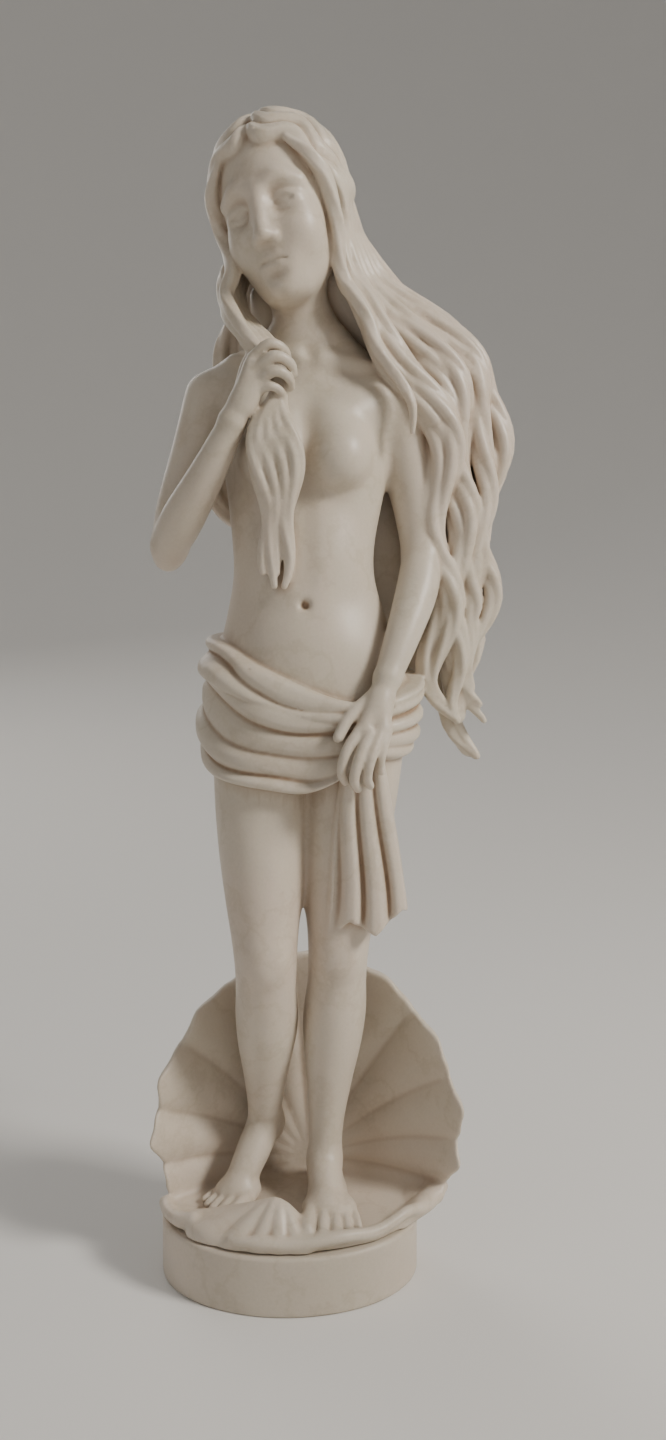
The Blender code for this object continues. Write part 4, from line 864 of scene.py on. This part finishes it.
def carve_shell(clay):
    """The scallop: a ribbed wall that curves round behind the legs, a floor and a ruffled front lip."""
    clay = clay.window(*SHELL_SPACE)
    middle = SHELL_OFFSET / UNIT
    half = SHELL_WIDTH / UNIT / 2
    rise = SHELL_RISE / UNIT
    thickness = SHELL_THICKNESS / UNIT
    back = SHELL_BACK / UNIT
    floor = FLOOR_THICKNESS / UNIT
    floor_x = (PLINTH_WIDTH / 2 - FLOOR_MARGIN_X) / UNIT
    floor_y = (PLINTH_DEPTH / 2 - FLOOR_MARGIN_Y) / UNIT
    lip = LIP_RADIUS / UNIT
    x, y, z = clay.places()
    # The ribs fan out from a hinge low behind the heels. The grooves of the two faces lie half a rib apart
    px = x - middle
    hinge = z - 0.06 * rise
    turn = np.arctan2(hinge, px)
    grow = np.clip(norm(px, hinge) / (rise * 0.6), 0, 1.2)
    band = rib(np.sin(turn * SHELL_RIBS / 2))
    between = rib(np.cos(turn * SHELL_RIBS / 2))
    upright = back - 6.0 * ((rise - z) / rise) ** 2
    inward = (np.abs(px) / half) ** 2.2
    slope = np.sqrt(1 + (2.2 * (upright + 3.5) * (np.abs(px) / half) ** 1.2 / half) ** 2)
    wall = (y - upright + (upright + 3.5) * inward) / slope
    outer = wall - (thickness / 2 + 1.6 * between * grow)
    inner = -wall - (thickness / 2 + 1.9 * band * grow)
    rim = norm(px, z - (rise - half + 0.5)) - (half - 0.9) - 1.5 * band * grow
    rim = rim - 0.25 * np.sin(turn * SHELL_RIBS * 2 + 1) * grow
    sheet = smooth_max(np.maximum(outer, inner), rim, 1.3)
    # The floor leaves a crescent of the plinth bare at the front left
    compass = np.arctan2(y / floor_y, x / floor_x)
    bare = 1 - 0.10 * np.exp(-((compass + 2.45) / 0.55) ** 2)
    slab = (norm(x / floor_x, y / floor_y) - bare) * floor_y
    slab = np.maximum(slab, np.maximum(z, -floor - z))
    made = smooth_min(sheet, slab, 3.0)
    clay.depth[...] = smooth_min(clay.depth, made.astype(np.float32), 0.6)
    # The lip: low before the toes, then climbing in small waves out to the low end of the wall
    rows = []
    for k in range(37):
        a = math.radians(-114 + 118 * k / 36)
        climb = k / 36
        out = 6.4 * max(0.0, climb - 0.72) / 0.28
        ripple = math.sin(19 * climb + 0.4) * (0.15 + 1.1 * climb)
        reach = 0.4 + 0.6 * ripple
        taper = min(1.0, 0.45 + 4 * climb)
        rows.append(((floor_x + reach + out) * math.cos(a), (floor_y + reach) * math.sin(a),
                     0.1 + 1.6 * climb + 0.9 * ripple, lip * (1.15 - 0.2 * climb) * taper))
    clay.add(tube(rows, 2), 1.8)
    # The web between the lip and the low end of the wall
    web = [
        (floor_x - 3.4, -8.4, -1.0, 1.4),
        (floor_x - 0.6, -5.4, -0.2, 1.9),
        (floor_x + 1.8, -2.6, 0.4, 2.0),
        (floor_x + 4.0, 0.0, 1.4, 1.7),
    ]
    clay.add(tube(web, 3), 2.4)
    clay.add(ball((floor_x + 1.2, 0.9, -0.3), (3.0, 3.6, 1.5)), 1.6)
    clay.add(tube([
        (-30.0, -2.0, 0.2, 1.2),
        (-28.2, -6.4, 0.0, 1.4),
        (-24.8, -10.0, 0.0, 1.8),
        (-21.6, -11.6, 0.8, 2.0),
    ], 4), 1.8)
    # The ear folded over at the front left. It climbs to a crest beside the toes, flutes fan out from the
    # crest to its lower edge, and it drops to the lip in front of the toes
    along = (x + 23.5) / 20.5
    rising = 2.0 + 5.4 * np.clip(along, 0, 1) ** 1.25
    falling = 7.4 * np.clip(1 - ((x + 3.0) / 8.5) ** 2, -0.5, 1)
    crest = np.where(x < -3.0, rising, falling)
    spine = -9.6 - 4.2 * np.clip(along, 0, 1.3)
    edge = -(floor_y + 0.6) * np.sqrt(np.clip(1 - (x / (floor_x + 0.6)) ** 2, 0.02, 1))
    fan = np.arctan2(y + 11.5, -(x + 1.5))
    flute = rib(np.sin(fan * 7.0))
    ahead = np.clip((spine - y) / np.maximum(spine - edge, 1.5), 0, 1.6)
    behind = np.clip((y - spine) / 3.6, 0, 1.6)
    surface = crest * (1 - ahead ** 1.8) * (1 - behind ** 2) + 1.5 * flute * np.clip(ahead * 1.4, 0, 1)
    ear = smooth_max((z - surface) * 0.6, -23.5 - x, 2.5)
    ear = smooth_max(ear, edge - 0.5 * flute - y, 1.2)
    ear = np.maximum(ear, np.maximum(y - spine - 3.6, x - 5.5))
    clay.depth[...] = smooth_min(clay.depth, ear.astype(np.float32), 0.9)


def soften(clay, share):
    """Evens out the finest roughness of the grid."""
    blurred = clay.depth
    for axis in range(3):
        here = np.swapaxes(blurred, 0, axis)
        mixed = here.copy()
        mixed[1:-1] = 0.5 * here[1:-1] + 0.25 * (here[:-2] + here[2:])
        blurred = np.swapaxes(mixed, 0, axis)
    clay.depth = clay.depth * (1 - share) + blurred * share


def skin(clay):
    """Vertices and faces where the distance is nought."""
    reach = 3 * clay.step
    grid = openvdb.FloatGrid(reach)
    grid.copyFromArray(np.clip(clay.depth, -reach, reach))
    grid.gridClass = openvdb.GridClass.LEVEL_SET
    points, _, quads = grid.convertToPolygons(isovalue=0.0, adaptivity=0.0)
    return points * clay.step + clay.corner(), quads[:, ::-1]


def largest_piece(points, quads):
    """The main body alone, without the specks and bubbles that deep grooves leave."""
    label = np.arange(len(points))
    while True:
        lowest = label[quads].min(axis=1)
        before = label.copy()
        np.minimum.at(label, quads.ravel(), np.repeat(lowest, 4))
        label = label[label]
        if np.array_equal(label, before):
            break
    main = np.bincount(label).argmax()
    kept = label == main
    number = np.cumsum(kept) - 1
    return points[kept], number[quads[kept[quads[:, 0]]]]


def between_cells(field, place):
    """The field read between its grid points."""
    low = np.clip(np.floor(place).astype(int), 0, np.array(field.shape) - 2)
    part = place - low
    total = 0.0
    for i, j, k in product((0, 1), repeat=3):
        share = np.abs(1 - i - part[:, 0]) * np.abs(1 - j - part[:, 1]) * np.abs(1 - k - part[:, 2])
        total = total + share * field[low[:, 0] + i, low[:, 1] + j, low[:, 2] + k]
    return total


def hollows(clay, points):
    """How deep in a hollow each point lies: 0 on an open face, up to 1 in a groove, below 0 on an edge."""
    blurred = np.clip(clay.depth, -3, 3)
    cells = max(1, round(HOLLOW_REACH / clay.step))
    for axis in range(3):
        here = np.swapaxes(blurred, 0, axis)
        total = np.cumsum(np.concatenate([here[:1]] * (cells + 1) + [here] + [here[-1:]] * cells), axis=0)
        blurred = np.swapaxes((total[2 * cells + 1:] - total[:-2 * cells - 1]) / (2 * cells + 1), 0, axis)
    return np.clip(-between_cells(blurred, (points - clay.corner()) / clay.step) * 2.0 / HOLLOW_REACH, -1, 1)


def placed(name, data):
    """An object in the scene that shows a mesh, a light or a camera."""
    obj = bpy.data.objects.new(name, data)
    bpy.context.scene.collection.objects.link(obj)
    return obj


def thin_out(obj):
    """Leaves the object with about as many triangles as the figure may have."""
    count = sum(len(face.vertices) - 2 for face in obj.data.polygons)
    thin = obj.modifiers.new("thin", "DECIMATE")
    thin.ratio = min(1.0, FIGURE_TRIANGLES / count)
    thin.use_collapse_triangulate = True
    graph = bpy.context.evaluated_depsgraph_get()
    mesh = bpy.data.meshes.new_from_object(obj.evaluated_get(graph))
    obj.modifiers.clear()
    obj.data = mesh


def vertex_points(mesh):
    flat = np.empty(len(mesh.vertices) * 3, np.float32)
    mesh.vertices.foreach_get("co", flat)
    return flat.reshape(-1, 3)


def build_figure():
    half = SHELL_WIDTH / UNIT / 2
    middle = SHELL_OFFSET / UNIT
    bottom = -FLOOR_THICKNESS / UNIT
    step = CARVING_STEP / UNIT
    low = (min(FIGURE_LEFT, middle - half - CLAY_MARGIN),
           min(FIGURE_FRONT, -PLINTH_DEPTH / UNIT / 2 - CLAY_MARGIN), bottom - CLAY_MARGIN / 2)
    high = (max(FIGURE_RIGHT, middle + half + CLAY_MARGIN),
            max(FIGURE_REAR, SHELL_BACK / UNIT + SHELL_MARGIN), FIGURE_TOP)
    clay = Clay([np.arange(a, b + step, step, dtype=np.float32) for a, b in zip(low, high)], step)
    carve_body(clay)
    carve_arms(clay)
    carve_feet(clay)
    carve_head(clay)
    carve_hair(clay)
    carve_cloth(clay)
    carve_shell(clay)
    soften(clay, SOFTENING)
    clay.depth = np.maximum(clay.depth, bottom - clay.places()[2])
    points, faces = largest_piece(*skin(clay))
    mesh = bpy.data.meshes.new("goddess")
    mesh.from_pydata(points.tolist(), [], faces.tolist())
    obj = placed("goddess", mesh)
    thin_out(obj)
    points = vertex_points(obj.data)
    # How deep in a hollow each point lies, for the marble's painted shade in grooves and painted highlight
    # on edges
    depth = obj.data.attributes.new("hollow", "FLOAT", "POINT")
    depth.data.foreach_set("value", hollows(clay, points).astype(np.float32))
    # Into metres, and just inside the box of the solid that it stands for
    points = points * UNIT
    points[:, 2] += FIGURE_BOTTOM + FLOOR_THICKNESS
    low = np.array(figure_low)
    high = np.array(figure_high)
    own_low = points.min(0)
    span = points.max(0) - own_low
    shrink = np.minimum(1.0, (high - low - BOX_GAP) / span)
    start = np.clip(own_low, low + BOX_GAP / 2, high - BOX_GAP / 2 - shrink * span)
    points = (points - own_low) * shrink + start
    obj.data.vertices.foreach_set("co", points.astype(np.float32).ravel())
    obj.data.shade_smooth()
    return obj


def bridge(shape, rings):
    """Four-sided faces between each ring of corners and the next."""
    for below, above in zip(rings[:-1], rings[1:]):
        for i in range(len(below)):
            j = (i + 1) % len(below)
            shape.faces.new((below[i], below[j], above[j], above[i]))


def smooth_object(name, shape):
    """The finished shape as a smoothly shaded object in the scene."""
    mesh = bpy.data.meshes.new(name)
    shape.to_mesh(mesh)
    shape.free()
    mesh.shade_smooth()
    return placed(name, mesh)


def build_plinth():
    """The oval disc with an eased top edge, a finely rounded foot and a hair of unevenness."""
    shape = bmesh.new()
    profile = [(0.0004, 0.0), (0.0001, 0.0002), (0.0, 0.0006)]
    profile += [(0.0, PLINTH_HEIGHT * k / 10) for k in range(1, 10)]
    for k in range(7):
        a = math.radians(15 * k)
        inset = PLINTH_EDGE_ROUND * (1 - math.cos(a))
        profile.append((inset, PLINTH_HEIGHT - PLINTH_EDGE_ROUND * (1 - math.sin(a))))
    profile += [(0.003, PLINTH_HEIGHT), (0.008, PLINTH_HEIGHT), (0.014, PLINTH_HEIGHT)]
    rings = []
    for inset, z in profile:
        row = []
        for i in range(PLINTH_SEGMENTS):
            a = 2 * math.pi * i / PLINTH_SEGMENTS
            dent = PLINTH_UNEVENNESS * (1 + math.sin(3 * a + 40 * z) * math.sin(5 * a - 90 * z + 1))
            x = (PLINTH_WIDTH / 2 - inset - dent) * math.cos(a)
            y = (PLINTH_DEPTH / 2 - inset - dent) * math.sin(a)
            row.append(shape.verts.new((x, y, z)))
        rings.append(row)
    bridge(shape, rings)
    shape.faces.new(list(reversed(rings[0])))
    shape.faces.new(rings[-1])
    obj = smooth_object("plinth_disc", shape)
    obj.data.set_sharp_from_angle(angle=math.radians(50))
    return obj


def fill(node, **values):
    """Sets inputs of a shader node, with _ in their names for each space."""
    for name, value in values.items():
        node.inputs[name.replace("_", " ")].default_value = value


class Nodes:
    """Short ways to add and link shader nodes."""

    def __init__(self, material):
        self.tree = material.node_tree

    def add(self, kind, **settings):
        node = self.tree.nodes.new(kind)
        for name, value in settings.items():
            setattr(node, name, value)
        return node

    def link(self, source, target):
        self.tree.links.new(source, target)

    def noise(self, scale, detail, roughness=0.5):
        place = self.add("ShaderNodeTexCoord")
        node = self.add("ShaderNodeTexNoise")
        fill(node, Scale=scale, Detail=detail, Roughness=roughness)
        self.link(place.outputs["Object"], node.inputs["Vector"])
        return node.outputs["Fac"]

    def ramp(self, source, *stops):
        """Tones along a value: each stop is its place and its red, green and blue."""
        node = self.add("ShaderNodeValToRGB")
        points = node.color_ramp.elements
        while len(points) < len(stops):
            points.new(0.5)
        for point, (place, tone) in zip(points, stops):
            point.position = place
            point.color = (*tone, 1)
        self.link(source, node.inputs["Fac"])
        return node.outputs["Color"]

    def multiply(self, first, second):
        node = self.add("ShaderNodeMix", data_type="RGBA", blend_type="MULTIPLY")
        fill(node, Factor=1.0)
        self.link(first, node.inputs["A"])
        self.link(second, node.inputs["B"])
        return node.outputs["Result"]

    def bump(self, height, strength, distance, below=None):
        node = self.add("ShaderNodeBump")
        fill(node, Strength=strength, Distance=distance)
        self.link(height, node.inputs["Height"])
        if below is not None:
            self.link(below, node.inputs["Normal"])
        return node.outputs["Normal"]


def grey(tone):
    return (tone, tone, tone)


def cast_marble(name, light, warm, painted_hollow_shade):
    """Satin cream bonded marble: cloudy tone, faint veins, fine cast grain, duller in hollows, with painted
    shade that darkens and warms the hollows and a painted highlight that leaves the edges paler.
    """
    material = bpy.data.materials.new(name)
    material.use_nodes = True
    nodes = Nodes(material)
    shader = material.node_tree.nodes["Principled BSDF"]
    # Clouds, thin veins and fine specks
    layers = [
        nodes.ramp(nodes.noise(17, 3), (0.40, WHITE), (0.62, (0.93, 0.965, 0.95))),
        nodes.ramp(nodes.noise(48, 7, 0.6), (0.465, WHITE), (0.5, (0.925, 0.915, 0.89)), (0.53, WHITE)),
        nodes.ramp(nodes.noise(1500, 2), (0.3, (0.955, 0.95, 0.94)), (0.7, WHITE)),
    ]
    dull = nodes.ramp(nodes.noise(90, 3), (0.3, grey(0.40)), (0.7, grey(0.47)))
    if painted_hollow_shade:
        # Painted highlight and shade: paler on the edges, a shade darker on open faces, darker and warmer in
        # the grooves, which are also duller
        groove = nodes.add("ShaderNodeAttribute", attribute_name="hollow")
        depth = nodes.add("ShaderNodeMapRange")
        fill(depth, From_Min=-1.0)
        nodes.link(groove.outputs["Fac"], depth.inputs["Value"])
        place = depth.outputs["Result"]
        stops = (0.25, WHITE), (0.5, OPEN_FACE), (0.53, OPEN_FACE), (0.85, painted_hollow_shade)
        layers.append(nodes.ramp(place, *stops))
        dull = nodes.ramp(place, (0.5, grey(0.40)), (0.9, grey(0.58)))
    colour = nodes.ramp(nodes.noise(26, 4, 0.55), (0.35, light), (0.68, warm))
    for layer in layers:
        colour = nodes.multiply(colour, layer)
    nodes.link(colour, shader.inputs["Base Color"])
    nodes.link(dull, shader.inputs["Roughness"])
    grain = nodes.bump(nodes.noise(2600, 2), 0.10, 0.00012)
    swell = nodes.bump(nodes.noise(210, 3), 0.16, 0.0006, grain)
    nodes.link(swell, shader.inputs["Normal"])
    fill(shader, Metallic=0.0, Specular_IOR_Level=0.42)
    fill(shader, Subsurface_Weight=0.12, Subsurface_Radius=(0.0012, 0.0008, 0.0005), Subsurface_Scale=1.0)
    return material


def dress(obj, node, material):
    obj.data.materials.append(material)
    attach(obj, "root")
    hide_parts(node)


def area_light(name, place, side, power, colour):
    data = bpy.data.lights.new(name, "AREA")
    data.shape = "SQUARE"
    data.size = side
    data.energy = power
    data.color = colour
    obj = placed(name, data)
    obj.location = place
    obj.rotation_euler = (Vector(LIT_POINT) - Vector(place)).to_track_quat("-Z", "Y").to_euler()


def backdrop():
    """A pale seamless floor that curves up all round far behind the object."""
    shape = bmesh.new()
    profile = [(BACKDROP_MIDDLE, 0.0), (BACKDROP_FLAT, 0.0)]
    for a in range(4, 89, 4):
        out = BACKDROP_FLAT + BACKDROP_CURVE * math.sin(math.radians(a))
        profile.append((out, BACKDROP_CURVE - BACKDROP_CURVE * math.cos(math.radians(a))))
    profile.append((BACKDROP_FLAT + BACKDROP_CURVE, BACKDROP_TOP))
    turns = [2 * math.pi * i / BACKDROP_SEGMENTS for i in range(BACKDROP_SEGMENTS)]
    rings = []
    for radius, z in profile:
        rings.append([shape.verts.new((radius * math.cos(a), radius * math.sin(a), z)) for a in turns])
    shape.faces.new(rings[0])
    bridge(shape, rings)
    bmesh.ops.recalc_face_normals(shape, faces=shape.faces)
    floor = smooth_object("floor", shape)
    paper = bpy.data.materials.new("pale_floor")
    paper.use_nodes = True
    shader = paper.node_tree.nodes["Principled BSDF"]
    fill(shader, Base_Color=BACKDROP_TONE, Roughness=0.85, Specular_IOR_Level=0.2)
    floor.data.materials.append(paper)


def build_stage():
    """Soft studio light and the camera at the photograph's viewing angle."""
    backdrop()
    world = bpy.data.worlds.new("studio")
    world.use_nodes = True
    sky = world.node_tree.nodes["Background"]
    fill(sky, Color=SKY_TONE, Strength=SKY_STRENGTH)
    bpy.context.scene.world = world
    for light in LIGHTS:
        area_light(*light)
    data = bpy.data.cameras.new("camera")
    data.sensor_fit = "VERTICAL"
    data.sensor_height = 36.0
    data.lens = CAMERA_LENS
    data.clip_start = 0.01
    data.clip_end = 20.0
    camera = placed("camera", data)
    camera.location = CAMERA_PLACE
    camera.rotation_euler = (CAMERA_TILT, 0.0, 0.0)
    bpy.context.scene.camera = camera


figure_marble = cast_marble("figure_marble", *FIGURE_TONES)
# The plinth gets a darker copy of the figure's marble, painted shade on its sides
plinth_marble = cast_marble("plinth_marble", *PLINTH_SHADED_TONES)
dress(build_figure(), "goddess_on_shell", figure_marble)
dress(build_plinth(), "plinth", plinth_marble)
build_stage()

bpy.context.view_layer.update()
